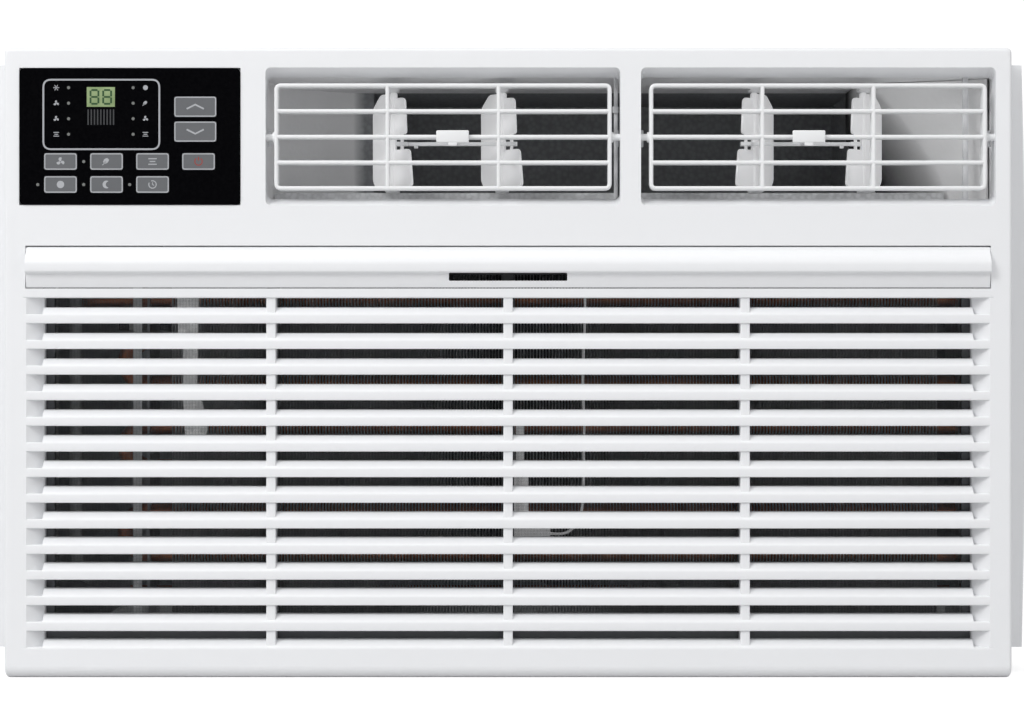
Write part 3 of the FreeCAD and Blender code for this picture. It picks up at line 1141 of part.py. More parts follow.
def refrigerant_tubes():
    """Copper suction and discharge tubes between the coils and the compressor."""
    top = COMPRESSOR_FOOT_Z + 4 + COMPRESSOR_HEIGHT + 6
    store_x = COMPRESSOR_X + COMPRESSOR_RADIUS + ACCUMULATOR_RADIUS + 4
    store_top = COMPRESSOR_FOOT_Z + 60 + ACCUMULATOR_HEIGHT
    coil_x = EVAPORATOR_LEFT - COIL_PLATE - 2 - TUBE_PITCH / 2
    rear_row = coil_rows(EVAPORATOR_BOTTOM, EVAPORATOR_TOP)[-1]
    suction_y = coil_columns(EVAPORATOR_FRONT_Y, EVAPORATOR_REAR_Y)[1]
    suction = bent_tube([Vector(coil_x - 0.1, suction_y, rear_row), Vector(-262, suction_y, rear_row),
                         Vector(-262, -100, 226), Vector(-176, -100, 226), Vector(-176, -30, 226),
                         Vector(store_x, 20, 260), Vector(store_x, COMPRESSOR_Y, 260),
                         Vector(store_x, COMPRESSOR_Y, store_top)], 4.8, 9)
    discharge = bent_tube([Vector(COMPRESSOR_X, COMPRESSOR_Y, top),
                           Vector(COMPRESSOR_X, COMPRESSOR_Y, top + 45),
                           Vector(COMPRESSOR_X - 50, COMPRESSOR_Y, top + 45),
                           Vector(COMPRESSOR_X - 50, FAN_FRONT_Y - 10, top + 45),
                           Vector(COMPRESSOR_X - 50, FAN_FRONT_Y - 10, 300)], 4.0, 12)
    return group([suction, discharge, capillary_tube()])


def capillary_tube():
    """Thin capillary, coiled beside the blower, and the drier that stands against the bulkhead."""
    half = 22.0
    drier_radius = 9.0
    x = CAPILLARY_X
    y = BULKHEAD_Y - SEAT_GAP - drier_radius - half
    height = CAPILLARY_Z
    points = [Vector(x + half, y + half - 2, height)]
    for _ in range(3):
        for corner_x, corner_y in ((half, -half), (-half, -half), (-half, half), (half, half)):
            height += 1.5
            points.append(Vector(x + corner_x, y + corner_y, height))
    points.append(Vector(x + half, y + half, height + 50))
    coil = bent_tube(points, 1.3, 14)
    drier = rod(drier_radius, Vector(x + half, y + half, height + 50), 60, Z_AXIS)
    return join([coil, drier])


# -------------------------------------------------------------- electrics

def electrical_box():
    """Folded steel box for the capacitor and relays, behind the control housing."""
    x0 = CONTROL_X - CONTROL_WIDTH / 2
    x1 = CONTROL_X + CONTROL_WIDTH / 2 - 6
    y0 = FACE_Y + PANEL_WALL + HOUSING_DEPTH + 2
    y1 = BULKHEAD_Y - SEAT_GAP
    z0 = OUTLET_MIDDLE - CONTROL_HEIGHT / 2 - 4
    z1 = CABINET_TOP - SHEET - 8
    shell = box(x0, x1, y0, y1, z0, z1)
    return shell.cut(box(x0 + SHEET, x1 - SHEET, y0 + SHEET, y1 - SHEET, z0 + SHEET, z1 + 1))


def run_capacitor():
    """Oval can with two terminals, lying in the electrical box."""
    y0 = FACE_Y + PANEL_WALL + HOUSING_DEPTH + 12
    z0 = OUTLET_MIDDLE - CONTROL_HEIGHT / 2 - 4 + SHEET
    x0 = CONTROL_X - 30
    can = rounded_box(x0, x0 + 55, y0, y0 + 32, z0, z0 + 48, 14, Z_AXIS)
    parts = [can]
    for x in (x0 + 18, x0 + 37):
        parts.append(box(x - 3, x + 3, y0 + 15, y0 + 16, z0 + 47, z0 + 60))
    return join(parts)


def wire_harness():
    """Sheathed wires from the control housing down the left side to the bulkhead."""
    x = EVAPORATOR_LEFT - 44
    top = OUTLET_MIDDLE - CONTROL_HEIGHT / 2 - HOUSING_WALL
    y = EVAPORATOR_FRONT_Y + 6
    return bent_tube([Vector(x, y, top), Vector(x, y, 60), Vector(x, y + 60, 48),
                       Vector(x, BULKHEAD_Y - 0.3, 48)], 3.5, 30)


# ---------------------------------------------------------------- chassis

def base_pan():
    """Steel tray on two runners, with upturned sides and rear and a drain spout."""
    front = CABINET_FRONT_Y
    rear = REAR_FACE_Y - SHEET - FIT_GAP
    narrow = FACE_HALF - PANEL_WALL - 3
    pan = box(-BASE_HALF, BASE_HALF, front, rear, RUNNER_HEIGHT, BASE_FLOOR)
    nose = box(-narrow, narrow, FACE_Y + 14, front, RUNNER_HEIGHT, BASE_FLOOR)
    flange_top = BASE_FLOOR + BASE_FLANGE
    parts = [pan, nose]
    for side in (-1, 1):
        edge = side * BASE_HALF
        inner = edge - side * BASE_SHEET
        parts.append(box(min(edge, inner), max(edge, inner), front, rear, RUNNER_HEIGHT, flange_top))
        runner = side * (BASE_HALF - 70)
        parts.append(box(runner - RUNNER_WIDTH / 2, runner + RUNNER_WIDTH / 2, front + 10, rear - 20,
                         0, RUNNER_HEIGHT))
    parts.append(box(-BASE_HALF, BASE_HALF, rear - BASE_SHEET, rear, RUNNER_HEIGHT, flange_top))
    parts.append(rod(DRAIN_RADIUS + BASE_SHEET, Vector(DRAIN_X, DRAIN_Y, RUNNER_HEIGHT - 4), 4, Z_AXIS))
    pan = join(parts)
    holes = [rod(DRAIN_RADIUS, Vector(DRAIN_X, DRAIN_Y, 0), BASE_FLOOR + 1, Z_AXIS)]
    for side in (-1, 1):
        for y in SIDE_HOLE_YS:
            start = Vector(side * (BASE_HALF - 5), y, SIDE_HOLE_Z)
            holes.append(rod(SIDE_HOLE_RADIUS, start, 10, X_AXIS * side))
    return pan.cut(Part.makeCompound(holes))


def cabinet_wrap():
    """Painted steel cover: two sides and a top, with intake slots towards the rear."""
    rear = REAR_FACE_Y - SHEET
    outer = box(-CABINET_HALF, CABINET_HALF, CABINET_FRONT_Y, rear, RUNNER_HEIGHT + 1, CABINET_TOP)
    outer = outer.makeFillet(4, [e for e in edges_along(outer, Y_AXIS) if e.CenterOfMass.z > CABINET_TOP - 1])
    inner = box(-CABINET_HALF + SHEET, CABINET_HALF - SHEET, CABINET_FRONT_Y - 1, rear + 1,
                0, CABINET_TOP - SHEET)
    wrap = outer.cut(inner)
    cuts = []
    for number in range(WRAP_SLOTS):
        y = WRAP_SLOT_START + number * WRAP_SLOT_PITCH
        for side in (-1, 1):
            middle = side * (CABINET_HALF - SHEET / 2)
            for low in (70, 190):
                cuts.append(box(middle - 3, middle + 3, y, y + WRAP_SLOT_WIDTH, low, low + 90))
        for x in (-220, -70, 80):
            cuts.append(box(x, x + 110, y, y + WRAP_SLOT_WIDTH, CABINET_TOP - 3, CABINET_TOP + 1))
    for side in (-1, 1):
        for y in SIDE_HOLE_YS:
            start = Vector(side * (CABINET_HALF - 5), y, SIDE_HOLE_Z)
            cuts.append(rod(SIDE_HOLE_RADIUS, start, 10, X_AXIS * side))
    return wrap.cut(Part.makeCompound(cuts))


def rear_panel():
    """Steel frame round the condenser, with horizontal guard wires across its window."""
    inside = REAR_FACE_Y - SHEET
    frame = box(-CABINET_HALF, CABINET_HALF, inside, REAR_FACE_Y, RUNNER_HEIGHT + 1, CABINET_TOP)
    window_half = CABINET_HALF - 34
    low = BASE_FLOOR + BASE_FLANGE + 2
    high = CABINET_TOP - 24
    cuts = [box(-window_half, window_half, inside - 1, REAR_FACE_Y + 1, low, high)]
    for x, z in screw_places():
        cuts.append(rod(SCREW_RADIUS + RUNNING_CLEARANCE, Vector(x, inside - 1, z), SHEET + 2, Y_AXIS))
    frame = frame.cut(Part.makeCompound(cuts))
    wires = []
    count = int((high - low) / GUARD_PITCH)
    for number in range(count):
        z = low + (number + 0.5) * (high - low) / count
        wires.append(rod(1.0, Vector(-window_half - 6, inside - 0.9, z), 2 * window_half + 12, X_AXIS))
    for x in (-window_half / 2, 0, window_half / 2):
        wires.append(rod(1.2, Vector(x, inside - 2.9, low - 6), high - low + 12, Z_AXIS))
    return join([frame] + wires)


def cord_gland():
    """Rubber ring in the right skirt that the power cord comes out of."""
    wall_x = OVERALL_WIDTH / 2 - SKIRT_BOW - PANEL_WALL
    start = Vector(wall_x - 2, GLAND_Y, GLAND_Z)
    sleeve = rod(GLAND_RADIUS - 0.1, start, PANEL_WALL + 3.2, X_AXIS)
    collar = rod(GLAND_RADIUS + 1.5, start, 1.8, X_AXIS)
    bore = rod(GLAND_BORE, start - Vector(1, 0, 0), PANEL_WALL + 6, X_AXIS)
    return join([sleeve, collar]).cut(bore)


def cabinet_screws():
    """Hexagon screws that hold the rear panel to the cabinet and base."""
    screws = []
    for x, z in screw_places():
        screw = hexagon(0, 0, 0, SCREW_HEAD, 8).fuse(rod(SCREW_RADIUS, Vector(0, 0, -6), 6, Z_AXIS))
        screw.rotate(Vector(0, 0, 0), X_AXIS, -90)
        screw.translate(Vector(x, REAR_FACE_Y, z))
        screws.append(screw)
    return group(screws)


def screw_places():
    """Where the rear panel is screwed on: three down each side."""
    edge = CABINET_HALF - 16
    heights = (60, SHAFT_Z + 10, CABINET_TOP - 50)
    return [(side * edge, z) for side in (-1, 1) for z in heights]


# ------------------------------------------------------------ all the pieces

def all_parts():
    """Every named piece with its shape."""
    parts = {
        "front_panel": front_panel(),
        "intake_grille": intake_grille(),
        "control_bezel": control_bezel(),
        "display_lens": display_lens(),
        "led_display": led_display(),
        "indicator_lamps": indicator_lamps(),
        "control_pcb": control_pcb(),
        "tact_switches": tact_switches(),
        "control_housing": control_housing(),
        "air_outlet_duct": air_outlet_duct(),
        "filter_door": filter_door(),
        "filter_frame": filter_frame(),
        "filter_mesh": filter_mesh(),
        "evaporator_fins": coil_fins(*evaporator_span()),
        "coil_end_plates": group(coil_plates(*evaporator_span()) + coil_plates(*condenser_span())),
        "evaporator_tubes": group(coil_tubes(*evaporator_span())),
        "evaporator_seal": evaporator_seal(),
        "drain_pan": drain_pan(),
        "room_thermistor": room_thermistor(),
        "blower_scroll": blower_scroll(),
        "blower_wheel": blower_wheel(),
        "fan_shaft": fan_shaft(),
        "fan_motor": fan_motor(),
        "motor_bracket": motor_bracket(),
        "bulkhead": bulkhead(),
        "condenser_fan": condenser_fan(),
        "condenser_shroud": condenser_shroud(),
        "condenser_fins": coil_fins(*condenser_span()),
        "condenser_tubes": group(coil_tubes(*condenser_span())),
        "compressor": compressor(),
        "compressor_grommets": compressor_grommets(),
        "compressor_bolts": compressor_bolts(),
        "refrigerant_tubes": refrigerant_tubes(),
        "electrical_box": electrical_box(),
        "run_capacitor": run_capacitor(),
        "wire_harness": wire_harness(),
        "base_pan": base_pan(),
        "cabinet_wrap": cabinet_wrap(),
        "rear_panel": rear_panel(),
        "cord_gland": cord_gland(),
        "cabinet_screws": cabinet_screws(),
    }
    for name, x, z, width, height in key_places():
        parts[name] = key(x, z, width, height)
    for side, louver_x, lean in (("left", LEFT_LOUVER_X, 1), ("right", RIGHT_LOUVER_X, -1)):
        parts["louver_" + side] = louver(louver_x, lean)
        parts["vane_" + side + "_a"] = vane(louver_x, lean, -1)
        parts["vane_" + side + "_b"] = vane(louver_x, lean, 1)
        parts["link_rod_" + side] = link_rod(louver_x, lean)
        parts["vane_handle_" + side] = vane_handle(louver_x, lean)
    return parts


os.makedirs("parts", exist_ok=True)
for part_name, part_shape in all_parts().items():
    part_shape.exportStep("parts/" + part_name + ".step")
    print(part_name, len(part_shape.Solids), "solids, valid:", part_shape.isValid())
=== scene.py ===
"""Builds the look of a room air conditioner round its fixed frame: the front moulding with its
grille, the louvers and vanes, the control panel, the coils and fans, and the studio."""
import math

import bmesh
import bpy
from mathutils import Matrix, Vector


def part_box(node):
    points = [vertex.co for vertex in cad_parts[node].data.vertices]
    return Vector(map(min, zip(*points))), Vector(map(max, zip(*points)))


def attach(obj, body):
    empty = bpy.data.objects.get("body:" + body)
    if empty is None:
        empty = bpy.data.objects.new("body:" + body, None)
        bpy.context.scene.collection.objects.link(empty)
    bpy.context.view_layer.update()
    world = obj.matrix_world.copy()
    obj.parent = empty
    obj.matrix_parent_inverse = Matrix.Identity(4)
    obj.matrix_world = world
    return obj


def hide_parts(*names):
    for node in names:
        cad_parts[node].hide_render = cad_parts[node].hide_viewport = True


bl_info = {
    "name": "Room air conditioner",
    "version": (1, 0, 0),
    "blender": (4, 5, 0),
    "location": "View3D > Sidebar > Air conditioner",
    "description": "Builds the pieces, finishes and studio of a room air conditioner",
    "category": "Object",
}

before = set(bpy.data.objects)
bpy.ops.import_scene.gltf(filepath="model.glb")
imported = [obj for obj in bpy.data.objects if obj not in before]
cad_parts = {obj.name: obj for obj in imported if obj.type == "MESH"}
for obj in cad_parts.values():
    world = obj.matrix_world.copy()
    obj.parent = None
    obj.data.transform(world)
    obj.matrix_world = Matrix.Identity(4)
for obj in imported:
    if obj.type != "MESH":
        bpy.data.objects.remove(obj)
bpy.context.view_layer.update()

MM = 0.001
SHARP = math.radians(36)
FACE_Y = -0.253
OUTLETS = {"left": (-38.0 * MM, 1), "right": (181.0 * MM, -1)}
OUTLET_MIDDLE = 316.05 * MM
BEZEL_Y = -253.6 * MM
CONTROL_X = -220.5 * MM
SHAFT = (60.0 * MM, 165.0 * MM)


# ------------------------------------------------------------- shader groups

def shader_group(name, inputs, outputs, build):
    """Shader node group with named inputs and outputs, built once."""
    group = bpy.data.node_groups.get(name)
    if group:
        return group
    group = bpy.data.node_groups.new(name, "ShaderNodeTree")
    for label, default in inputs:
        kind = "NodeSocketColor" if isinstance(default, tuple) else "NodeSocketFloat"
        socket = group.interface.new_socket(label, in_out="INPUT", socket_type=kind)
        socket.default_value = default
    for label, kind in outputs:
        group.interface.new_socket(label, in_out="OUTPUT", socket_type=kind)
    start = group.nodes.new("NodeGroupInput")
    end = group.nodes.new("NodeGroupOutput")
    build(group, start, end)
    return group


def add_node(tree, kind, links=None, **values):
    """Node of one kind; values set its properties or, by socket name, its inputs."""
    node = tree.nodes.new(kind)
    for key, value in values.items():
        setattr(node, key, value)
    for key, source in (links or {}).items():
        if hasattr(source, "is_linked") or hasattr(source, "links"):
            tree.links.new(source, node.inputs[key])
        else:
            node.inputs[key].default_value = source
    return node


def math_node(tree, operation, first, second=0.0, clamp=False):
    """Output of a math node."""
    node = add_node(tree, "ShaderNodeMath", {0: first, 1: second}, operation=operation, use_clamp=clamp)
    return node.outputs[0]


def place_socket(tree, stretch=(1.0, 1.0, 1.0)):
    """Object coordinates, stretched along the axes."""
    coordinates = tree.nodes.new("ShaderNodeTexCoord").outputs["Object"]
    if stretch == (1.0, 1.0, 1.0):
        return coordinates
    return add_node(tree, "ShaderNodeMapping", {"Vector": coordinates, "Scale": stretch}).outputs[0]


def noise(tree, vector, scale, detail=3.0, roughness=0.55):
    """Noise value over the surface; scale counts features in a metre."""
    node = add_node(tree, "ShaderNodeTexNoise",
                    {"Vector": vector, "Scale": scale, "Detail": detail, "Roughness": roughness})
    return node.outputs[0]


def build_moulded(tree, start, end):
    """Fine spark-eroded grain with slow flow marks."""
    where = place_socket(tree)
    grain = add_node(tree, "ShaderNodeTexNoise",
                     {"Vector": where, "Scale": start.outputs["Grain scale"], "Detail": 2.0}).outputs[0]
    flow = noise(tree, where, 9.0, 4.0)
    speck = noise(tree, where, 380.0, 1.0)
    slow = math_node(tree, "MULTIPLY", math_node(tree, "SUBTRACT", flow, 0.5), start.outputs["Flow"])
    tone = math_node(tree, "ADD", slow, 0.5, clamp=True)
    tree.links.new(grain, end.inputs["Height"])
    tree.links.new(tone, end.inputs["Tone"])
    tree.links.new(speck, end.inputs["Speck"])


def moulded_group():
    return shader_group("Moulded grain", [("Grain scale", 2600.0), ("Flow", 0.6)],
                        [("Height", "NodeSocketFloat"), ("Tone", "NodeSocketFloat"),
                         ("Speck", "NodeSocketFloat")], build_moulded)


def build_dust(tree, start, end):
    """Dust that settles on upward faces and in patches."""
    where = place_socket(tree)
    patch = noise(tree, where, 14.0, 5.0, 0.65)
    fine = noise(tree, where, 900.0, 2.0)
    normal = add_node(tree, "ShaderNodeNewGeometry").outputs["Normal"]
    up = add_node(tree, "ShaderNodeSeparateXYZ", {0: normal}).outputs["Z"]
    lying = math_node(tree, "MULTIPLY_ADD", up, 0.5, clamp=True)
    lying.node.inputs[2].default_value = 0.15
    spread = math_node(tree, "MULTIPLY", math_node(tree, "MULTIPLY", patch, fine), 3.2, clamp=True)
    mask = math_node(tree, "MULTIPLY", math_node(tree, "MULTIPLY", lying, spread),
                     start.outputs["Amount"], clamp=True)
    tree.links.new(mask, end.inputs["Mask"])


def dust_group():
    return shader_group("Settled dust", [("Amount", 0.3)], [("Mask", "NodeSocketFloat")], build_dust)


def build_sheet(tree, start, end):
    """Zinc crystals and rolling lines of sheet metal."""
    where = place_socket(tree)
    cells = add_node(tree, "ShaderNodeTexVoronoi",
                     {"Vector": where, "Scale": start.outputs["Crystal scale"]}).outputs["Color"]
    crystal = add_node(tree, "ShaderNodeSeparateColor", {0: cells}).outputs[0]
    rolled = noise(tree, place_socket(tree, (6.0, 700.0, 700.0)), 1.0, 3.0)
    scuff = noise(tree, where, 30.0, 6.0, 0.7)
    tree.links.new(crystal, end.inputs["Crystal"])
    tree.links.new(rolled, end.inputs["Rolled"])
    tree.links.new(scuff, end.inputs["Scuff"])


def sheet_group():
    return shader_group("Sheet metal", [("Crystal scale", 160.0)],
                        [("Crystal", "NodeSocketFloat"), ("Rolled", "NodeSocketFloat"),
                         ("Scuff", "NodeSocketFloat")], build_sheet)


# ----------------------------------------------------------------- materials

def mix_colour(tree, factor, first, second):
    """Colour between two, by a mask."""
    node = tree.nodes.new("ShaderNodeMix")
    node.data_type = "RGBA"
    for socket, value in ((node.inputs[0], factor), (node.inputs[6], first), (node.inputs[7], second)):
        if isinstance(value, bpy.types.NodeSocket):
            tree.links.new(value, socket)
        else:
            socket.default_value = value
    return node.outputs[2]


def place_group(tree, group, **values):
    """A shader group placed in a material with its own values."""
    node = tree.nodes.new("ShaderNodeGroup")
    node.node_tree = group
    for label, value in values.items():
        node.inputs[label.replace("_", " ")].default_value = value
    return node.outputs


def colour(red, green, blue):
    """Linear colour from 8-bit display values."""
    linear = []
    for value in (red, green, blue):
        share = value / 255
        linear.append(share / 12.92 if share <= 0.04045 else ((share + 0.055) / 1.055) ** 2.4)
    return (*linear, 1.0)


def shade(base, factor):
    """A colour made darker or lighter."""
    return (*(min(1.0, part * factor) for part in base[:3]), 1.0)


def start_material(name):
    """New material with its Principled shader; returns material, tree and shader."""
    material = bpy.data.materials.new(f"{name} finish")
    material.use_nodes = True
    tree = material.node_tree
    tree.nodes.clear()
    shader = tree.nodes.new("ShaderNodeBsdfPrincipled")
    output = tree.nodes.new("ShaderNodeOutputMaterial")
    tree.links.new(shader.outputs[0], output.inputs[0])
    return material, tree, shader


def bump(tree, shader, height, distance, strength=1.0):
    """Bump from a height mask, in metres."""
    node = add_node(tree, "ShaderNodeBump", {"Height": height, "Distance": distance, "Strength": strength})
    tree.links.new(node.outputs[0], shader.inputs["Normal"])


def vary(tree, source, low, high):
    """Mask stretched between two values."""
    node = add_node(tree, "ShaderNodeMapRange", {"Value": source, "From Min": 0.3, "From Max": 0.7,
                                                  "To Min": low, "To Max": high})
    return node.outputs[0]


def paint_in_light(tree, shader, tint, glow):
    """Painted light: a faint emission that stands in for daylight reaching a thin or deep-set piece."""
    tree.links.new(tint, shader.inputs["Emission Color"])
    shader.inputs["Emission Strength"].default_value = glow


def plastic(name, base, rough, grain=2600.0, depth=0.00003, dust=0.0, coat=0.0, flow=0.6, contrast=0.05,
            glow=0.0):
    """Moulded plastic, rubber or baked paint with grain, flow marks and settled dust; glow is painted light, a faint
    emission that stands in for light reaching the piece.
    """
    material, tree, shader = start_material(name)
    moulded = place_group(tree, moulded_group(), Grain_scale=grain, Flow=flow)
    tint = mix_colour(tree, moulded["Tone"], shade(base, 1 - contrast), shade(base, 1 + contrast))
    if dust:
        settled = place_group(tree, dust_group(), Amount=dust)["Mask"]
        tint = mix_colour(tree, settled, tint, colour(150, 143, 132))
    tree.links.new(tint, shader.inputs["Base Color"])
    tree.links.new(vary(tree, moulded["Speck"], rough - 0.05, rough + 0.06), shader.inputs["Roughness"])
    paint_in_light(tree, shader, tint, glow)
    shader.inputs["Coat Weight"].default_value = coat
    shader.inputs["Coat Roughness"].default_value = 0.12
    bump(tree, shader, moulded["Height"], depth)
    return material


def sheet_metal(name, base, rough, crystals=160.0, metallic=1.0, contrast=0.12, dust=0.15, glow=0.0):
    """Plated or bare sheet metal with crystals and rolling lines."""
    material, tree, shader = start_material(name)
    sheet = place_group(tree, sheet_group(), Crystal_scale=crystals)
    tint = mix_colour(tree, sheet["Crystal"], shade(base, 1 - contrast), shade(base, 1 + contrast))
    settled = place_group(tree, dust_group(), Amount=dust)["Mask"]
    tint = mix_colour(tree, settled, tint, colour(140, 134, 124))
    tree.links.new(tint, shader.inputs["Base Color"])
    tree.links.new(vary(tree, sheet["Scuff"], rough - 0.08, rough + 0.14), shader.inputs["Roughness"])
    paint_in_light(tree, shader, tint, glow)
    shader.inputs["Metallic"].default_value = metallic
    bump(tree, shader, sheet["Rolled"], 0.00002)
    return material


def copper(name):
    """Drawn copper with brown patches of tarnish."""
    material, tree, shader = start_material(name)
    where = place_socket(tree)
    patch = noise(tree, where, 45.0, 6.0, 0.7)
    tarnish = vary(tree, patch, 0.0, 1.0)
    tint = mix_colour(tree, tarnish, colour(214, 138, 98), colour(128, 72, 48))
    tree.links.new(tint, shader.inputs["Base Color"])
    tree.links.new(vary(tree, patch, 0.22, 0.5), shader.inputs["Roughness"])
    shader.inputs["Metallic"].default_value = 1.0
    bump(tree, shader, noise(tree, where, 500.0, 2.0), 0.00003)
    return material


def foam(name, base, front=None, front_ends=0.0, fade=0.001, glow=0.0):
    """Rigid foam whose beads show; front is the colour of a lining that ends at one depth. With a wide fade the pale
    front and the darker base behind it are painted light and shade, darker deeper in.
    """
    material, tree, shader = start_material(name)
    where = place_socket(tree)
    beads = add_node(tree, "ShaderNodeTexVoronoi", {"Vector": where, "Scale": 330.0})
    patch = noise(tree, where, 16.0, 4.0)
    tint = mix_colour(tree, vary(tree, patch, 0.1, 0.9), shade(base, 0.86), shade(base, 1.14))
    edges = vary(tree, beads.outputs["Distance"], 1.0, 0.55)
    tint = mix_colour(tree, edges, shade(base, 0.6), tint)
    if front:
        depth = add_node(tree, "ShaderNodeSeparateXYZ", {0: where}).outputs["Y"]
        behind = add_node(tree, "ShaderNodeMapRange", {"Value": depth, "From Min": front_ends - fade,
                                                        "From Max": front_ends + fade}).outputs[0]
        lining_and_painted_light = mix_colour(tree, vary(tree, patch, 0.0, 1.0), shade(front, 0.96), shade(front, 1.03))
        tint = mix_colour(tree, behind, lining_and_painted_light, tint)
    tree.links.new(tint, shader.inputs["Base Color"])
    paint_in_light(tree, shader, tint, glow)
    tree.links.new(vary(tree, patch, 0.8, 0.95), shader.inputs["Roughness"])
    bump(tree, shader, beads.outputs["Distance"], 0.0004, 0.5)
    return material


def gloss_black(name):
    """High-gloss black moulding with faint wiping marks and specks."""
    material, tree, shader = start_material(name)
    where = place_socket(tree)
    haze = noise(tree, place_socket(tree, (1.0, 1.0, 3.5)), 30.0, 5.0, 0.6)
    speck = noise(tree, where, 700.0, 1.0)
    tint = mix_colour(tree, vary(tree, speck, 0.0, 1.0), colour(3, 3, 5), colour(7, 7, 9))
    tree.links.new(tint, shader.inputs["Base Color"])
    tree.links.new(vary(tree, haze, 0.09, 0.2), shader.inputs["Roughness"])
    shader.inputs["Specular IOR Level"].default_value = 0.03
    bump(tree, shader, haze, 0.00002, 0.4)
    return material


def woven_mesh(name):
    """Open weave of fine dark threads."""
    material, tree, shader = start_material(name)
    where = place_socket(tree)
    split = add_node(tree, "ShaderNodeSeparateXYZ", {0: where})
    pitch = 1150.0
    threads = []
    for axis in ("X", "Z"):
        phase = math_node(tree, "FRACT", math_node(tree, "MULTIPLY", split.outputs[axis], pitch))
        threads.append(math_node(tree, "LESS_THAN", phase, 0.11))
    weave = math_node(tree, "MAXIMUM", threads[0], threads[1])
    lint = vary(tree, noise(tree, where, 40.0, 5.0, 0.7), 0.0, 0.12)
    alpha = math_node(tree, "MAXIMUM", weave, lint)
    tree.links.new(alpha, shader.inputs["Alpha"])
    tint = mix_colour(tree, lint, colour(112, 113, 116), colour(150, 149, 146))
    tree.links.new(tint, shader.inputs["Base Color"])
    shader.inputs["Roughness"].default_value = 0.7
    bump(tree, shader, weave, 0.0001)
    return material


def fin_metal(name):
    """Thin aluminium fins, dulled, with lighter and darker streaks: painted sheen of slow bends in the stack."""
    material, tree, shader = start_material(name)
    where = place_socket(tree)
    bend_sheen = noise(tree, place_socket(tree, (60.0, 8.0, 3.0)), 1.0, 4.0)
    fine = noise(tree, place_socket(tree, (900.0, 40.0, 12.0)), 1.0, 2.0)
    # Painted sheen: streaks of lighter colour stand for fins bent towards the light.
    tint = mix_colour(tree, vary(tree, bend_sheen, 0.0, 1.0), colour(214, 216, 219), colour(250, 250, 251))
    tree.links.new(tint, shader.inputs["Base Color"])
    tree.links.new(vary(tree, fine, 0.35, 0.6), shader.inputs["Roughness"])
    shader.inputs["Metallic"].default_value = 0.2
    bump(tree, shader, noise(tree, where, 260.0, 3.0), 0.0001, 0.6)
    return material


def display_glow(name):
    """Back-lit display block: pale green, in soft patches of lighter and darker tone."""
    material, tree, shader = start_material(name)
    where = place_socket(tree)
    cloud = noise(tree, where, 120.0, 2.0)
    tint = mix_colour(tree, vary(tree, cloud, 0.0, 1.0), colour(122, 142, 98), colour(150, 168, 124))
    tree.links.new(tint, shader.inputs["Base Color"])
    tree.links.new(tint, shader.inputs["Emission Color"])
    shader.inputs["Emission Strength"].default_value = 0.12
    tree.links.new(vary(tree, cloud, 0.3, 0.4), shader.inputs["Roughness"])
    return material


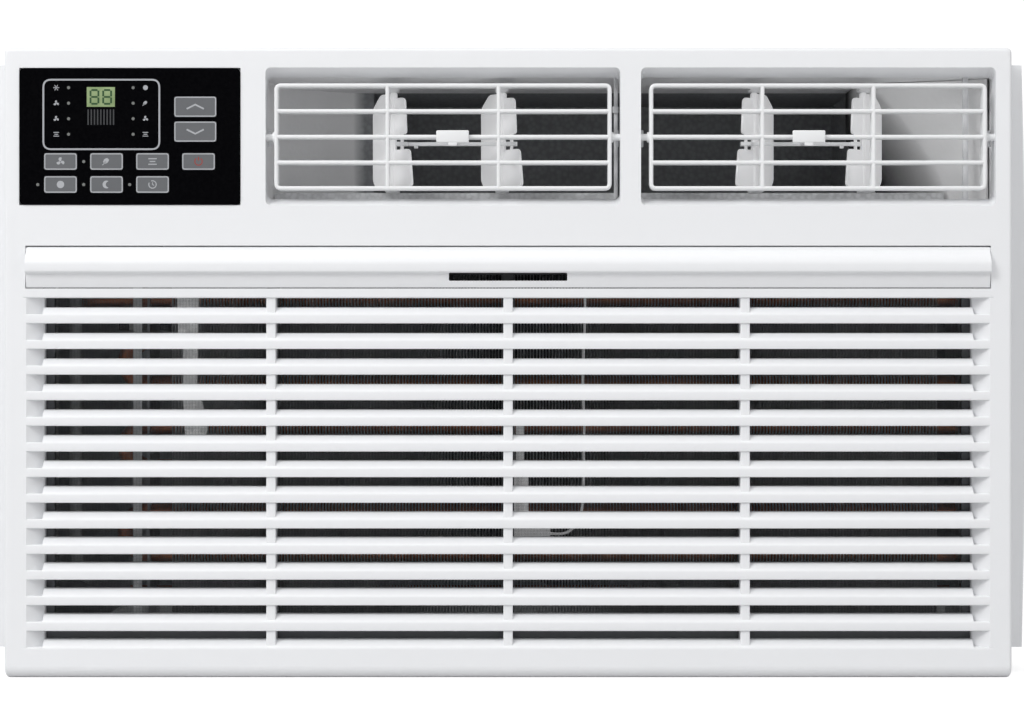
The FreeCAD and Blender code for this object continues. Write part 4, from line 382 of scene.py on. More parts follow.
def make_finish(name):
    """The object's finishes by name."""
    makers = {
        "white shell": lambda: plastic(name, colour(240, 241, 243), 0.42, 2400.0, 0.00002, contrast=0.012),
        "white louver": lambda: plastic(name, colour(238, 239, 240), 0.38, 2400.0, 0.00001, contrast=0.015),
        # Painted light: the vanes get a whiter base than the louver frame and a faint emission, so they look lit where
        # they sit in shade.
        "white vane": lambda: plastic(name, colour(248, 248, 249), 0.45, 2400.0, 0.00001, contrast=0.02, glow=0.16),
        "white plastic": lambda: plastic(name, colour(224, 225, 226), 0.5, 2200.0, 0.00003, contrast=0.02,
                                         dust=0.1),
        "pale duct": lambda: foam(name, colour(176, 178, 181)),
        "grey foam": lambda: foam(name, colour(74, 76, 79)),
        "lined foam": lambda: foam(name, colour(158, 160, 163), colour(246, 246, 247), -0.152),
        # Painted shade: the deflector is pale at the front and fades to dark foam deeper in, shade painted into its
        # colour.
        "shaded foam": lambda: foam(name, colour(62, 63, 65), colour(250, 250, 250), -0.183, 0.023),
        "sill foam": lambda: foam(name, colour(226, 227, 229)),
        # Painted light: a faint emission brightens the drain pan's front, deep behind the grille.
        "pan foam": lambda: foam(name, colour(190, 192, 194), glow=0.12),
        "gloss black": lambda: gloss_black(name),
        "key grey": lambda: plastic(name, colour(100, 102, 105), 0.42, 3000.0, 0.00002),
        "key edge": lambda: plastic(name, colour(176, 178, 182), 0.35, 3000.0, 0.00001),
        "print white": lambda: plastic(name, colour(176, 178, 182), 0.5, 1800.0, 0.00001),
        "print silver": lambda: plastic(name, colour(168, 170, 175), 0.4, 1800.0, 0.00001),
        "print dark": lambda: plastic(name, colour(52, 54, 57), 0.5, 1800.0, 0.00001),
        "print red": lambda: plastic(name, colour(150, 66, 60), 0.5, 1800.0, 0.00001),
        "display glow": lambda: display_glow(name),
        "digit green": lambda: plastic(name, colour(34, 74, 34), 0.5, 1800.0, 0.00001),
        "lamp": lambda: plastic(name, colour(116, 118, 116), 0.7, 1800.0, 0.00001),
        "grey plastic": lambda: plastic(name, colour(92, 94, 98), 0.55, 2000.0, 0.00005, dust=0.25),
        "black plastic": lambda: plastic(name, colour(30, 31, 33), 0.5, 2000.0, 0.00005, dust=0.3),
        "rubber": lambda: plastic(name, colour(26, 26, 27), 0.75, 1500.0, 0.00008, dust=0.3, contrast=0.1),
        "board": lambda: plastic(name, colour(36, 84, 52), 0.4, 1800.0, 0.00004, contrast=0.12),
        "sheath": lambda: plastic(name, colour(190, 192, 194), 0.6, 1600.0, 0.0001, dust=0.3),
        # Painted light: a faint emission brightens the sensor and its lead where they sit deep behind the grille.
        "sensor white": lambda: plastic(name, colour(240, 240, 241), 0.5, 2200.0, 0.00003, glow=0.2),
        "cabinet paint": lambda: plastic(name, colour(247, 248, 248), 0.45, 900.0, 0.00012, dust=0.18,
                                         contrast=0.02),
        "black paint": lambda: plastic(name, colour(24, 24, 26), 0.35, 900.0, 0.0001, dust=0.3, coat=0.3),
        "motor paint": lambda: plastic(name, colour(58, 61, 66), 0.4, 900.0, 0.0001, dust=0.25, coat=0.2),
        "zinc sheet": lambda: sheet_metal(name, colour(172, 175, 179), 0.38),
        # Painted light: the coil's flange is a lighter copy of the zinc sheet with a faint emission, so it shows as a
        # light strip behind the grille.
        "bright zinc": lambda: sheet_metal(name, colour(214, 216, 218), 0.5, 220.0, 0.4, glow=0.08),
        # Painted highlight: a pale, faintly glowing sheet on the fins stands for the light on a patch of bent fins.
        "foil tape": lambda: sheet_metal(name, colour(246, 247, 248), 0.5, 260.0, 0.1, 0.2, 0.0, 0.22),
        "bolt steel": lambda: sheet_metal(name, colour(150, 150, 152), 0.34, 700.0),
        "can": lambda: sheet_metal(name, colour(186, 188, 192), 0.28, 500.0),
        "copper": lambda: copper(name),
        "fin metal": lambda: fin_metal(name),
        "woven mesh": lambda: woven_mesh(name),
    }
    return makers[name]()


def finish(name):
    """A finish, made the first time that it is asked for."""
    return bpy.data.materials.get(f"{name} finish") or make_finish(name)


# ------------------------------------------------------------ mesh building

def soften(outline, cut, steps=3):
    """Closed outline with each corner cut back and rounded; cut is one distance or one each."""
    cuts = cut if isinstance(cut, (list, tuple)) else [cut] * len(outline)
    points = []
    for number, corner in enumerate(outline):
        here = Vector(corner)
        if not cuts[number]:
            points.append(here)
            continue
        before = Vector(outline[number - 1])
        after = Vector(outline[(number + 1) % len(outline)])
        start = here + (before - here).normalized() * cuts[number]
        end = here + (after - here).normalized() * cuts[number]
        for step in range(steps + 1):
            share = step / steps
            points.append(start * (1 - share) ** 2 + here * 2 * share * (1 - share) + end * share ** 2)
    return points


def lay(axis, along, first, second):
    """Point from its place along an axis and its two other coordinates, in order."""
    if axis == "X":
        return Vector((along, first, second))
    if axis == "Y":
        return Vector((first, along, second))
    return Vector((first, second, along))


def prism(bm, outline, low, high, axis, slot=0):
    """Closed solid with one outline, from low to high along an axis."""
    near = [bm.verts.new(lay(axis, low, *point)) for point in outline]
    far = [bm.verts.new(lay(axis, high, *point)) for point in outline]
    faces = [bm.faces.new(near), bm.faces.new(list(reversed(far)))]
    for number in range(len(near)):
        after = (number + 1) % len(near)
        faces.append(bm.faces.new((near[number], far[number], far[after], near[after])))
    for face in faces:
        face.material_index = slot
    return faces


def bridge_round(bm, rings):
    """Faces from each closed ring of points to the next, and from the last to the first."""
    for first, second in zip(rings, rings[1:] + rings[:1]):
        for number in range(len(first)):
            after = (number + 1) % len(first)
            bm.faces.new((first[number], first[after], second[after], second[number]))


def block(bm, low, high, round_off=0.0, segments=2, slot=0):
    """Block between two corners with all its edges rounded."""
    size = Vector(high) - Vector(low)
    middle = (Vector(high) + Vector(low)) / 2
    made = bmesh.ops.create_cube(bm, size=1.0, matrix=Matrix.Translation(middle) @ Matrix.Diagonal((*size, 1.0)))
    verts = made["verts"]
    faces = {face for vert in verts for face in vert.link_faces}
    if round_off:
        edges = list({edge for vert in verts for edge in vert.link_edges})
        result = bmesh.ops.bevel(bm, geom=edges, offset=round_off, segments=segments, profile=0.5,
                                 affect="EDGES")
        faces = {face for face in faces if face.is_valid} | set(result["faces"])
    for face in faces:
        face.material_index = slot


def turned(bm, profile, centre, axis, sides=32, slot=0):
    """Round solid from a profile of (along, radius) points, closed at both ends."""
    rings = []
    for along, radius in profile:
        ring = []
        for side in range(sides):
            angle = 2 * math.pi * side / sides
            spot = lay(axis, along, radius * math.cos(angle), radius * math.sin(angle))
            ring.append(bm.verts.new(Vector(centre) + spot))
        rings.append(ring)
    faces = [bm.faces.new(rings[0]), bm.faces.new(list(reversed(rings[-1])))]
    for first, second in zip(rings, rings[1:]):
        for side in range(sides):
            after = (side + 1) % sides
            faces.append(bm.faces.new((first[side], second[side], second[after], first[after])))
    for face in faces:
        face.material_index = slot


def to_mesh(bm, name):
    """Finished mesh with its faces turned outwards."""
    bmesh.ops.recalc_face_normals(bm, faces=bm.faces)
    mesh = bpy.data.meshes.new(name)
    bm.to_mesh(mesh)
    bm.free()
    return mesh


def plain_object(name, mesh, finishes):
    """Object at the origin with its finishes, smooth but for its sharp edges."""
    piece = bpy.data.objects.new(name, mesh)
    bpy.context.scene.collection.objects.link(piece)
    if not mesh.materials:
        for label in finishes:
            mesh.materials.append(finish(label))
    mesh.shade_smooth()
    mesh.set_sharp_from_angle(angle=math.radians(36))
    return piece


def settle(piece):
    """The piece's modifiers made part of its mesh."""
    graph = bpy.context.evaluated_depsgraph_get()
    graph.update()
    mesh = bpy.data.meshes.new_from_object(piece.evaluated_get(graph))
    piece.modifiers.clear()
    piece.data = mesh
    mesh.shade_smooth()
    mesh.set_sharp_from_angle(angle=math.radians(36))


def ease_edges(piece, width, segments=2):
    """Small round on every hard edge."""
    modifier = piece.modifiers.new("Eased edges", "BEVEL")
    modifier.width = width
    modifier.segments = segments
    modifier.limit_method = "ANGLE"
    modifier.angle_limit = math.radians(35)
    settle(piece)


def belong(piece, body, *nodes, slot=None):
    """The piece rides on a body and stands for its CAD nodes."""
    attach(piece, body)
    if nodes:
        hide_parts(*nodes)
    return piece


def smooth(piece):
    """Smooth shading, broken at edges sharper than SHARP."""
    piece.data.shade_smooth()
    piece.data.set_sharp_from_angle(angle=SHARP)


def merge(name, pieces):
    """One object from several, with the meshes joined."""
    bm = bmesh.new()
    materials = []
    for piece in pieces:
        offset = {}
        for number, material in enumerate(piece.data.materials):
            if material not in materials:
                materials.append(material)
            offset[number] = materials.index(material)
        start = len(bm.faces)
        bm.from_mesh(piece.data)
        bm.faces.ensure_lookup_table()
        for face in bm.faces[start:]:
            face.material_index = offset.get(face.material_index, 0)
        bpy.data.objects.remove(piece)
    mesh = bpy.data.meshes.new(name)
    bm.to_mesh(mesh)
    bm.free()
    for material in materials:
        mesh.materials.append(material)
    whole = bpy.data.objects.new(name, mesh)
    bpy.context.scene.collection.objects.link(whole)
    return whole


# ---------------------------------------------------------- geometry trees

def geometry_tree(name, inputs):
    """Geometry Nodes tree with named inputs; returns the tree, its start and its end."""
    tree = bpy.data.node_groups.new(name, "GeometryNodeTree")
    tree.interface.new_socket("Geometry", in_out="INPUT", socket_type="NodeSocketGeometry")
    for label, kind in inputs:
        tree.interface.new_socket(label, in_out="INPUT", socket_type=kind)
    tree.interface.new_socket("Geometry", in_out="OUTPUT", socket_type="NodeSocketGeometry")
    return tree, tree.nodes.new("NodeGroupInput"), tree.nodes.new("NodeGroupOutput")


def close_tree(tree, start, end, geometry):
    """Last nodes of every tree: real geometry with one finish."""
    real = add_node(tree, "GeometryNodeRealizeInstances", {"Geometry": geometry})
    painted = add_node(tree, "GeometryNodeSetMaterial",
                       {"Geometry": real.outputs[0], "Material": start.outputs["Material"]})
    tree.links.new(painted.outputs[0], end.inputs["Geometry"])


def rows_tree():
    """Repeats a shape in a grid: so many across and up, at two pitches."""
    name = "Repeat in rows"
    if name in bpy.data.node_groups:
        return bpy.data.node_groups[name]
    tree, start, end = geometry_tree(name, [
        ("Across", "NodeSocketInt"), ("Up", "NodeSocketInt"), ("Pitch across", "NodeSocketFloat"),
        ("Pitch up", "NodeSocketFloat"), ("Material", "NodeSocketMaterial")])
    geometry = start.outputs["Geometry"]
    for count, pitch, axis in (("Across", "Pitch across", "X"), ("Up", "Pitch up", "Z")):
        step = add_node(tree, "ShaderNodeCombineXYZ", {axis: start.outputs[pitch]})
        places = add_node(tree, "GeometryNodeMeshLine",
                          {"Count": start.outputs[count], "Offset": step.outputs[0]}, mode="OFFSET")
        copies = add_node(tree, "GeometryNodeInstanceOnPoints",
                          {"Points": places.outputs[0], "Instance": geometry})
        geometry = add_node(tree, "GeometryNodeRealizeInstances", {"Geometry": copies.outputs[0]}).outputs[0]
    close_tree(tree, start, end, geometry)
    return tree


def ring_tree():
    """Repeats a shape round an axis along Y, so many times."""
    name = "Repeat round an axis"
    if name in bpy.data.node_groups:
        return bpy.data.node_groups[name]
    tree, start, end = geometry_tree(name, [
        ("Count", "NodeSocketInt"), ("Centre", "NodeSocketVector"), ("Material", "NodeSocketMaterial")])
    places = add_node(tree, "GeometryNodePoints",
                      {"Count": start.outputs["Count"], "Position": start.outputs["Centre"]})
    share = math_node(tree, "DIVIDE", 2 * math.pi, start.outputs["Count"])
    index = tree.nodes.new("GeometryNodeInputIndex").outputs[0]
    turn = add_node(tree, "ShaderNodeCombineXYZ", {"Y": math_node(tree, "MULTIPLY", index, share)})
    copies = add_node(tree, "GeometryNodeInstanceOnPoints",
                      {"Points": places.outputs[0], "Instance": start.outputs["Geometry"],
                       "Rotation": turn.outputs[0]})
    close_tree(tree, start, end, copies.outputs[0])
    return tree


def places_tree():
    """Puts one shape at each vertex of the object's mesh."""
    name = "Shape at each place"
    if name in bpy.data.node_groups:
        return bpy.data.node_groups[name]
    tree, start, end = geometry_tree(name, [("Shape", "NodeSocketObject"), ("Material", "NodeSocketMaterial")])
    shape = add_node(tree, "GeometryNodeObjectInfo", {"Object": start.outputs["Shape"]})
    copies = add_node(tree, "GeometryNodeInstanceOnPoints",
                      {"Points": start.outputs["Geometry"], "Instance": shape.outputs["Geometry"]})
    close_tree(tree, start, end, copies.outputs[0])
    return tree


def grow(name, mesh, tree, finish_name, **values):
    """Plain object from a mesh put through a Geometry Nodes tree with its own values."""
    seed = bpy.data.objects.new(name, mesh)
    bpy.context.scene.collection.objects.link(seed)
    modifier = seed.modifiers.new(tree.name, "NODES")
    modifier.node_group = tree
    values["Material"] = finish(finish_name)
    for item in tree.interface.items_tree:
        label = item.name.replace(" ", "_")
        if item.item_type == "SOCKET" and item.in_out == "INPUT" and label in values:
            modifier[item.identifier] = values[label]
    settle(seed)
    return seed


# --------------------------------------------------------------- properties

class UnitSizes(bpy.types.PropertyGroup):
    """Sizes of the visible pieces."""
    slat_pitch: bpy.props.FloatProperty(name="Slat pitch", description="Height from one intake slat to the next",
                                        default=0.01495, unit="LENGTH")
    slat_count: bpy.props.IntProperty(name="Slots", description="Number of intake slots", default=14)
    fin_pitch: bpy.props.FloatProperty(name="Fin pitch", description="Spacing of the coils' fins",
                                       default=0.0019, unit="LENGTH")
    louver_bar: bpy.props.FloatProperty(name="Louver bar", description="Thickness of the louver's bars",
                                        default=0.0023, unit="LENGTH")
    edge_round: bpy.props.FloatProperty(name="Edge round", description="Round on the small mouldings' edges",
                                        default=0.0004, unit="LENGTH")
    fan_blades: bpy.props.IntProperty(name="Fan blades", description="Blades of the rear fan", default=5)
    wheel_blades: bpy.props.IntProperty(name="Wheel blades", description="Blades of the blower wheel", default=36)
    camera_distance: bpy.props.FloatProperty(name="Camera distance", description="From the camera to the face",
                                             default=1.35, unit="LENGTH")


class StudioLight(bpy.types.PropertyGroup):
    """Strength of the studio's lights."""
    key_power: bpy.props.FloatProperty(name="Key light", description="Power of the large front light, in watts",
                                       default=59.0)
    top_power: bpy.props.FloatProperty(name="Top light", description="Power of the light overhead, in watts",
                                       default=10.0)
    fill_power: bpy.props.FloatProperty(name="Fill light", description="Power of the side light, in watts",
                                        default=15.0)
    surround: bpy.props.FloatProperty(name="Surround", description="Strength of the even light all round",
                                      default=0.45)
    backdrop: bpy.props.FloatVectorProperty(name="Backdrop", description="Colour of the floor and backdrop",
                                            default=(0.62, 0.62, 0.625), subtype="COLOR", size=3)


def sizes():
    """The sizes set in the panel."""
    return bpy.context.scene.unit_sizes


# ------------------------------------------------------------- intake grille

GRILLE_HALF = 281 * MM
GRILLE_OPEN = 271.6 * MM
GRILLE_TOP = 222.0 * MM
GRILLE_BOTTOM = 18.05 * MM
GRILLE_RIM = 2 * MM
RIB_PLACES = (-138.4 * MM, 0.0, 138.4 * MM)


def at_face(points):
    """(depth behind the face, height) points in millimetres as (y, z) in metres."""
    return [(FACE_Y + depth * MM, height * MM) for depth, height in points]


def slat_mesh():
    """The lowest slat: flat front, sloped upper lip, undercut rear, and plain bars at its ends."""
    bm = bmesh.new()
    pitch = sizes().slat_pitch / MM
    base = GRILLE_TOP / MM - (sizes().slat_count - 1) * pitch
    outline = at_face([(0, base), (3, base), (12, base + 6.3), (12, base + pitch - 5.5),
                       (5, base + pitch - 5.5), (0, base + pitch - 9.6)])
    prism(bm, soften(outline, [0.0006, 0.0005, 0.0003, 0.0003, 0.0012, 0.0009]), -GRILLE_OPEN, GRILLE_OPEN, "X")
    end = at_face([(0, base), (3, base), (9, base + 4.2), (9, base + pitch - 9.6), (0, base + pitch - 9.6)])
    end = soften(end, [0.0006, 0.0005, 0, 0, 0.0006])
    prism(bm, end, -GRILLE_HALF, -GRILLE_OPEN, "X")
    prism(bm, end, GRILLE_OPEN, GRILLE_HALF, "X")
    return to_mesh(bm, "slat")


def grille_surround():
    """Top and bottom rails, slanted end walls, ribs and the filter's guides."""
    bm = bmesh.new()
    wide = GRILLE_HALF + GRILLE_RIM
    top = GRILLE_TOP / MM
    low = GRILLE_BOTTOM / MM
    prism(bm, soften(at_face([(0, top), (0, top + 2), (12, top + 2), (12, top)]), [0.0005, 0, 0, 0]),
          -wide, wide, "X")
    prism(bm, soften(at_face([(0, low - 2), (0, low), (5, low + 4.1), (12, low + 4.1), (12, low - 2)]),
                     [0, 0.0009, 0.0012, 0, 0]), -GRILLE_OPEN, GRILLE_OPEN, "X")
    for side in (-1, 1):
        prism(bm, soften(at_face([(0, low - 2), (0, low), (12, low), (12, low - 2)]), [0, 0.0006, 0, 0]),
              side * GRILLE_OPEN, side * wide, "X")
        outline = [(side * x * MM, FACE_Y + y * MM)
                   for x, y in ((283, 0), (281, 0), (271.6, 8), (271.6, 12), (283, 12))]
        prism(bm, soften(outline, [0, 0, 0.001, 0, 0]), GRILLE_BOTTOM, GRILLE_TOP, "Z")
        guide = [(side * x * MM, FACE_Y + y * MM) for x, y in (
            (271.8, 11.5), (276.2, 11.5), (276.2, 19.2), (271, 19.2), (271, 17.4), (274.4, 17.4), (274.4, 13.1),
            (271.8, 13.1))]
        prism(bm, guide, GRILLE_BOTTOM, GRILLE_TOP, "Z")
    for x in RIB_PLACES:
        rib = [(x + side * 2.75 * MM, FACE_Y + y * MM) for side, y in ((-1, 1.2), (1, 1.2), (1, 12), (-1, 12))]
        prism(bm, soften(rib, [0.0007, 0.0007, 0, 0], 4), GRILLE_BOTTOM - GRILLE_RIM / 2, GRILLE_TOP + GRILLE_RIM / 2,
              "Z")
    return plain_object("grille_surround", to_mesh(bm, "surround"), ["white shell"])


class UNIT_OT_grille(bpy.types.Operator):
    """Slats repeated up the front, with their surround and ribs"""
    bl_idname = "unit.grille"
    bl_label = "Intake grille"

    def execute(self, context):
        slats = grow("slats", slat_mesh(), rows_tree(), "white shell", Across=1,
                     Up=sizes().slat_count - 1, Pitch_across=0.0, Pitch_up=sizes().slat_pitch)
        whole = merge("grille_face", [grille_surround(), slats])
        smooth(whole)
        belong(whole, "chassis", "intake_grille", slot="white_shell")
        return {"FINISHED"}


# -------------------------------------------------------- louvers and vanes

LOUVER_HALF_X = 98.5 * MM
LOUVER_HALF_Z = 31.15 * MM
LOUVER_Y = (-252.0 * MM, -243.0 * MM)
LOUVER_ROWS = 5
UPRIGHTS = 4
VANE_Y = -225.0 * MM
VANE_ANGLE = math.radians(45)
CRANK = 8.0 * MM


def bar_outline(middle_y, middle_z, deep, thick):
    """Outline of a louver bar: a lozenge with round ends."""
    half_y = deep / 2
    half_z = thick / 2
    corners = [(middle_y - half_y, middle_z - half_z), (middle_y + half_y, middle_z - half_z),
               (middle_y + half_y, middle_z + half_z), (middle_y - half_y, middle_z + half_z)]
    return soften(corners, half_z * 0.9, 3)


def sweep_loop(bm, path, outline):
    """Closed bar round a path of (x, z) points; outline is (y, distance outwards) points."""
    count = len(path)
    rings = []
    for number, point in enumerate(path):
        before = (Vector(point) - Vector(path[number - 1])).normalized()
        after = (Vector(path[(number + 1) % count]) - Vector(point)).normalized()
        ahead = (before + after).normalized()
        outwards = Vector((ahead.y, -ahead.x)) / max(ahead.dot(after), 0.5)
        rings.append([bm.verts.new((point[0] + outwards.x * out, y, point[1] + outwards.y * out))
                      for y, out in outline])
    bridge_round(bm, rings)


def pivot_x(centre, lean, place):
    """Where a vane turns."""
    return centre + place * 32.45 * MM + lean * 2.0 * MM


def louver(side, centre, lean):
    """Tilting frame of one outlet."""
    bar = sizes().louver_bar
    middle_y = sum(LOUVER_Y) / 2
    deep = LOUVER_Y[1] - LOUVER_Y[0]
    low = OUTLET_MIDDLE - LOUVER_HALF_Z
    row_pitch = (2 * LOUVER_HALF_Z - bar) / (LOUVER_ROWS - 1)
    upright_pitch = (2 * LOUVER_HALF_X - bar) / (UPRIGHTS - 1)
    bm = bmesh.new()
    prism(bm, bar_outline(middle_y, low + row_pitch + bar / 2, deep, bar), centre - LOUVER_HALF_X + bar / 2,
          centre + LOUVER_HALF_X - bar / 2, "X")
    rows = grow("rows", to_mesh(bm, "bar"), rows_tree(), "white louver", Across=1, Up=LOUVER_ROWS - 2,
                Pitch_across=0.0, Pitch_up=row_pitch)
    bm = bmesh.new()
    first = centre - LOUVER_HALF_X + upright_pitch
    across = [(x, y) for y, x in bar_outline(middle_y, first + bar / 2, deep, bar)]
    prism(bm, across, low + bar / 2, low + 2 * LOUVER_HALF_Z - bar / 2, "Z")
    uprights = grow("uprights", to_mesh(bm, "upright"), rows_tree(), "white louver", Across=UPRIGHTS - 2, Up=1,
                    Pitch_across=upright_pitch, Pitch_up=0.0)
    bm = bmesh.new()
    half_x = LOUVER_HALF_X - bar / 2
    half_z = LOUVER_HALF_Z - bar / 2
    rim = soften([(centre - half_x, OUTLET_MIDDLE - half_z), (centre + half_x, OUTLET_MIDDLE - half_z),
                  (centre + half_x, OUTLET_MIDDLE + half_z), (centre - half_x, OUTLET_MIDDLE + half_z)],
                 2.8 * MM, 6)
    sweep_loop(bm, rim, bar_outline(middle_y, 0.0, deep, bar))
    loop = plain_object("loop", to_mesh(bm, "loop"), ["white louver"])
    bm = bmesh.new()
    for end in (-1, 1):
        inner = centre + end * (LOUVER_HALF_X - MM)
        outer = centre + end * (LOUVER_HALF_X + 7.4 * MM)
        turned(bm, [(inner, 2.0 * MM), (outer - end * 0.4 * MM, 2.0 * MM), (outer, 1.6 * MM)],
               (0, middle_y, OUTLET_MIDDLE), "X", 20)
        turned(bm, [(inner, 3.2 * MM), (centre + end * (LOUVER_HALF_X + 1.2 * MM), 3.0 * MM)],
               (0, middle_y, OUTLET_MIDDLE), "X", 20)
    for place in (-1, 1):
        x = pivot_x(centre, lean, place)
        for z in (low, OUTLET_MIDDLE + LOUVER_HALF_Z - bar):
            tongue = [(x - 4 * MM, LOUVER_Y[1] - MM), (x + 4 * MM, LOUVER_Y[1] - MM), (x + 4 * MM, VANE_Y + 3.5 * MM),
                      (x - 4 * MM, VANE_Y + 3.5 * MM)]
            prism(bm, soften(tongue, [0, 0, 0.0032, 0.0032], 6), z, z + bar, "Z")
            turned(bm, [(z - 0.3 * MM, 2.6 * MM), (z + bar + 0.3 * MM, 2.6 * MM)], (x, VANE_Y, 0), "Z", 20)
    lugs = plain_object("lugs", to_mesh(bm, "lugs"), ["white louver"])
    whole = merge(f"louver_bars_{side}", [loop, rows, uprights, lugs])
    smooth(whole)
    belong(whole, f"louver_frame_{side}", f"louver_{side}", slot="white_louver")


def vane(side, centre, lean, place, letter):
    """Upright vane with two lobes, its barrel and its pins."""
    low = 288.0 * MM
    high = 344.1 * MM
    notch_low = OUTLET_MIDDLE - 5.6 * MM
    notch_high = OUTLET_MIDDLE + 3.2 * MM
    outline = [(-17.4, low + 5 * MM), (-15.4, low + 1.5 * MM), (-11.4, low), (17.5, low), (15.0, notch_low),
               (2.6, notch_low), (2.6, notch_high), (12.0, notch_high), (10.75, high - 3 * MM),
               (3.2, high - 3 * MM), (3.2, high), (-10.4, high), (-17.4, high - 8 * MM)]
    rounds = [0.0015, 0.001, 0.0015, 0.003, 0.0025, 0.001, 0.001, 0.0025, 0.003, 0.0008, 0.0008, 0.002, 0.0025]
    profile = [(-forward * MM, z) for forward, z in outline]
    bm = bmesh.new()
    prism(bm, soften(profile, rounds, 4), -0.8 * MM, 0.8 * MM, "X")
    plate = plain_object("plate", to_mesh(bm, "plate"), ["white vane"])
    ease_edges(plate, 0.35 * MM)
    bm = bmesh.new()
    turned(bm, [(low, 1.7 * MM), (low + 0.5 * MM, 1.9 * MM), (high - 0.5 * MM, 1.9 * MM), (high, 1.7 * MM)],
           (0, 0, 0), "Z", 20)
    turned(bm, [(low - 3.1 * MM, 1.45 * MM), (low, 1.5 * MM)], (0, 0, 0), "Z", 16)
    turned(bm, [(high, 1.5 * MM), (high + 3.1 * MM, 1.45 * MM)], (0, 0, 0), "Z", 16)
    turned(bm, [(notch_low - MM, 1.0 * MM), (notch_high + MM, 1.0 * MM)], (0, -CRANK, 0), "Z", 14)
    pins = plain_object("pins", to_mesh(bm, "pins"), ["white vane"])
    whole = merge(f"vane_blade_{side}_{letter}", [plate, pins])
    move = Matrix.Translation((pivot_x(centre, lean, place), VANE_Y, 0)) @ Matrix.Rotation(lean * VANE_ANGLE, 4, "Z")
    whole.data.transform(move)
    smooth(whole)
    belong(whole, f"vane_body_{side}_{letter}", f"vane_{side}_{letter}", slot="white_louver")


def link_and_handle(side, centre, lean):
    """Rod between the vanes, and the finger tab that moves it."""
    low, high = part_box(f"link_rod_{side}")
    shift = lean * CRANK * math.sin(VANE_ANGLE)
    first = pivot_x(centre, lean, -1) + shift
    last = pivot_x(centre, lean, 1) + shift
    middle = (low.y + high.y) / 2
    bottom = high.z - 2.2 * MM
    bm = bmesh.new()
    block(bm, (first, middle - 1.5 * MM, bottom), (last, middle + 1.5 * MM, high.z), 0.5 * MM)
    for x in (first, last):
        half_x = 3.4 * MM
        outer = soften([(x - half_x, low.y), (x + half_x, low.y), (x + half_x, high.y), (x - half_x, high.y)],
                       0.0016, 4)
        inner = soften([(x - 1.4 * MM, low.y + 1.2 * MM), (x + 1.4 * MM, low.y + 1.2 * MM),
                        (x + 1.4 * MM, high.y - 1.2 * MM), (x - 1.4 * MM, high.y - 1.2 * MM)], 0.0009, 4)
        eye(bm, outer, inner, bottom, high.z)
    nub = first + 8.3 * MM if lean > 0 else last - 8.3 * MM
    block(bm, (nub - 1.2 * MM, middle - MM, low.z), (nub + 1.2 * MM, middle + MM, bottom + 0.3 * MM), 0.3 * MM)
    rod = plain_object(f"link_{side}", to_mesh(bm, "link"), ["white louver"])
    belong(rod, f"vane_link_{side}", f"link_rod_{side}", slot="white_louver")
    low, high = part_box(f"vane_handle_{side}")
    x = (low.x + high.x) / 2
    bm = bmesh.new()
    block(bm, (low.x, low.y, bottom), (high.x, low.y + 2 * MM, high.z), 0.7 * MM, 3)
    block(bm, (low.x + 2 * MM, low.y + MM, high.z - 2 * MM), (high.x - 2 * MM, LOUVER_Y[1] - MM, high.z), 0.4 * MM)
    block(bm, (x - 2.6 * MM, low.y + MM, bottom), (x + 2.6 * MM, high.y, bottom + 2.2 * MM), 0.4 * MM)
    block(bm, (x - 2.6 * MM, low.y + 0.3 * MM, low.z), (x + 2.6 * MM, low.y + 2 * MM, bottom + MM), 0.4 * MM)
    tab = plain_object(f"handle_{side}", to_mesh(bm, "handle"), ["white louver"])
    belong(tab, f"vane_link_{side}", f"vane_handle_{side}", slot="white_louver")


def eye(bm, outer, inner, low, high):
    """Ring-shaped solid along Z between two outlines that have as many points."""
    loops = []
    for outline, height in ((outer, low), (outer, high), (inner, high), (inner, low)):
        loops.append([bm.verts.new((x, y, height)) for x, y in outline])
    bridge_round(bm, loops)


class UNIT_OT_louvers(bpy.types.Operator):
    """Tilting louvers, upright vanes, their links and handles"""
    bl_idname = "unit.louvers"
    bl_label = "Louvers and vanes"

    def execute(self, context):
        for side, (centre, lean) in OUTLETS.items():
            louver(side, centre, lean)
            for place, letter in ((-1, "a"), (1, "b")):
                vane(side, centre, lean, place, letter)
            link_and_handle(side, centre, lean)
        return {"FINISHED"}


# --------------------------------------------------------- door and filter

DOOR_HALF = 280.9 * MM
DOOR_AXIS = (-251.0 * MM, 249.9 * MM)
DOOR_BOTTOM = 227.9 * MM
FINGER_HALF = 34.5 * MM
FINGER_LOW = DOOR_BOTTOM + 4.0 * MM
FINGER_HIGH = DOOR_BOTTOM + 8.7 * MM


def door_outline():
    """Outline of the flap from its top round down to its lower edge, in (y, z)."""
    axis_y, axis_z = DOOR_AXIS
    points = [(FACE_Y, axis_z), (FACE_Y - 3.5 * MM, DOOR_BOTTOM + 17.5 * MM),
              (FACE_Y - 5 * MM, DOOR_BOTTOM + 14.5 * MM), (FACE_Y - 5 * MM, DOOR_BOTTOM + 9.0 * MM),
              (FACE_Y - 2 * MM, DOOR_BOTTOM + 8.0 * MM), (FACE_Y - 1.6 * MM, DOOR_BOTTOM + 6 * MM),
              (FACE_Y, DOOR_BOTTOM), (FACE_Y + 2.4 * MM, DOOR_BOTTOM), (FACE_Y + 2.4 * MM, axis_z - 2 * MM),
              (axis_y + 2 * MM, axis_z)]
    rounds = [0.0009, 0.0012, 0.0012, 0.0009, 0.0006, 0.0006, 0.0005, 0.0003, 0.0003, 0]
    arc = []
    for step in range(1, 8):
        angle = math.pi * step / 8
        arc.append((axis_y + 2 * MM * math.cos(angle), axis_z + 2 * MM * math.sin(angle)))
    return soften(points + arc, rounds + [0] * len(arc))


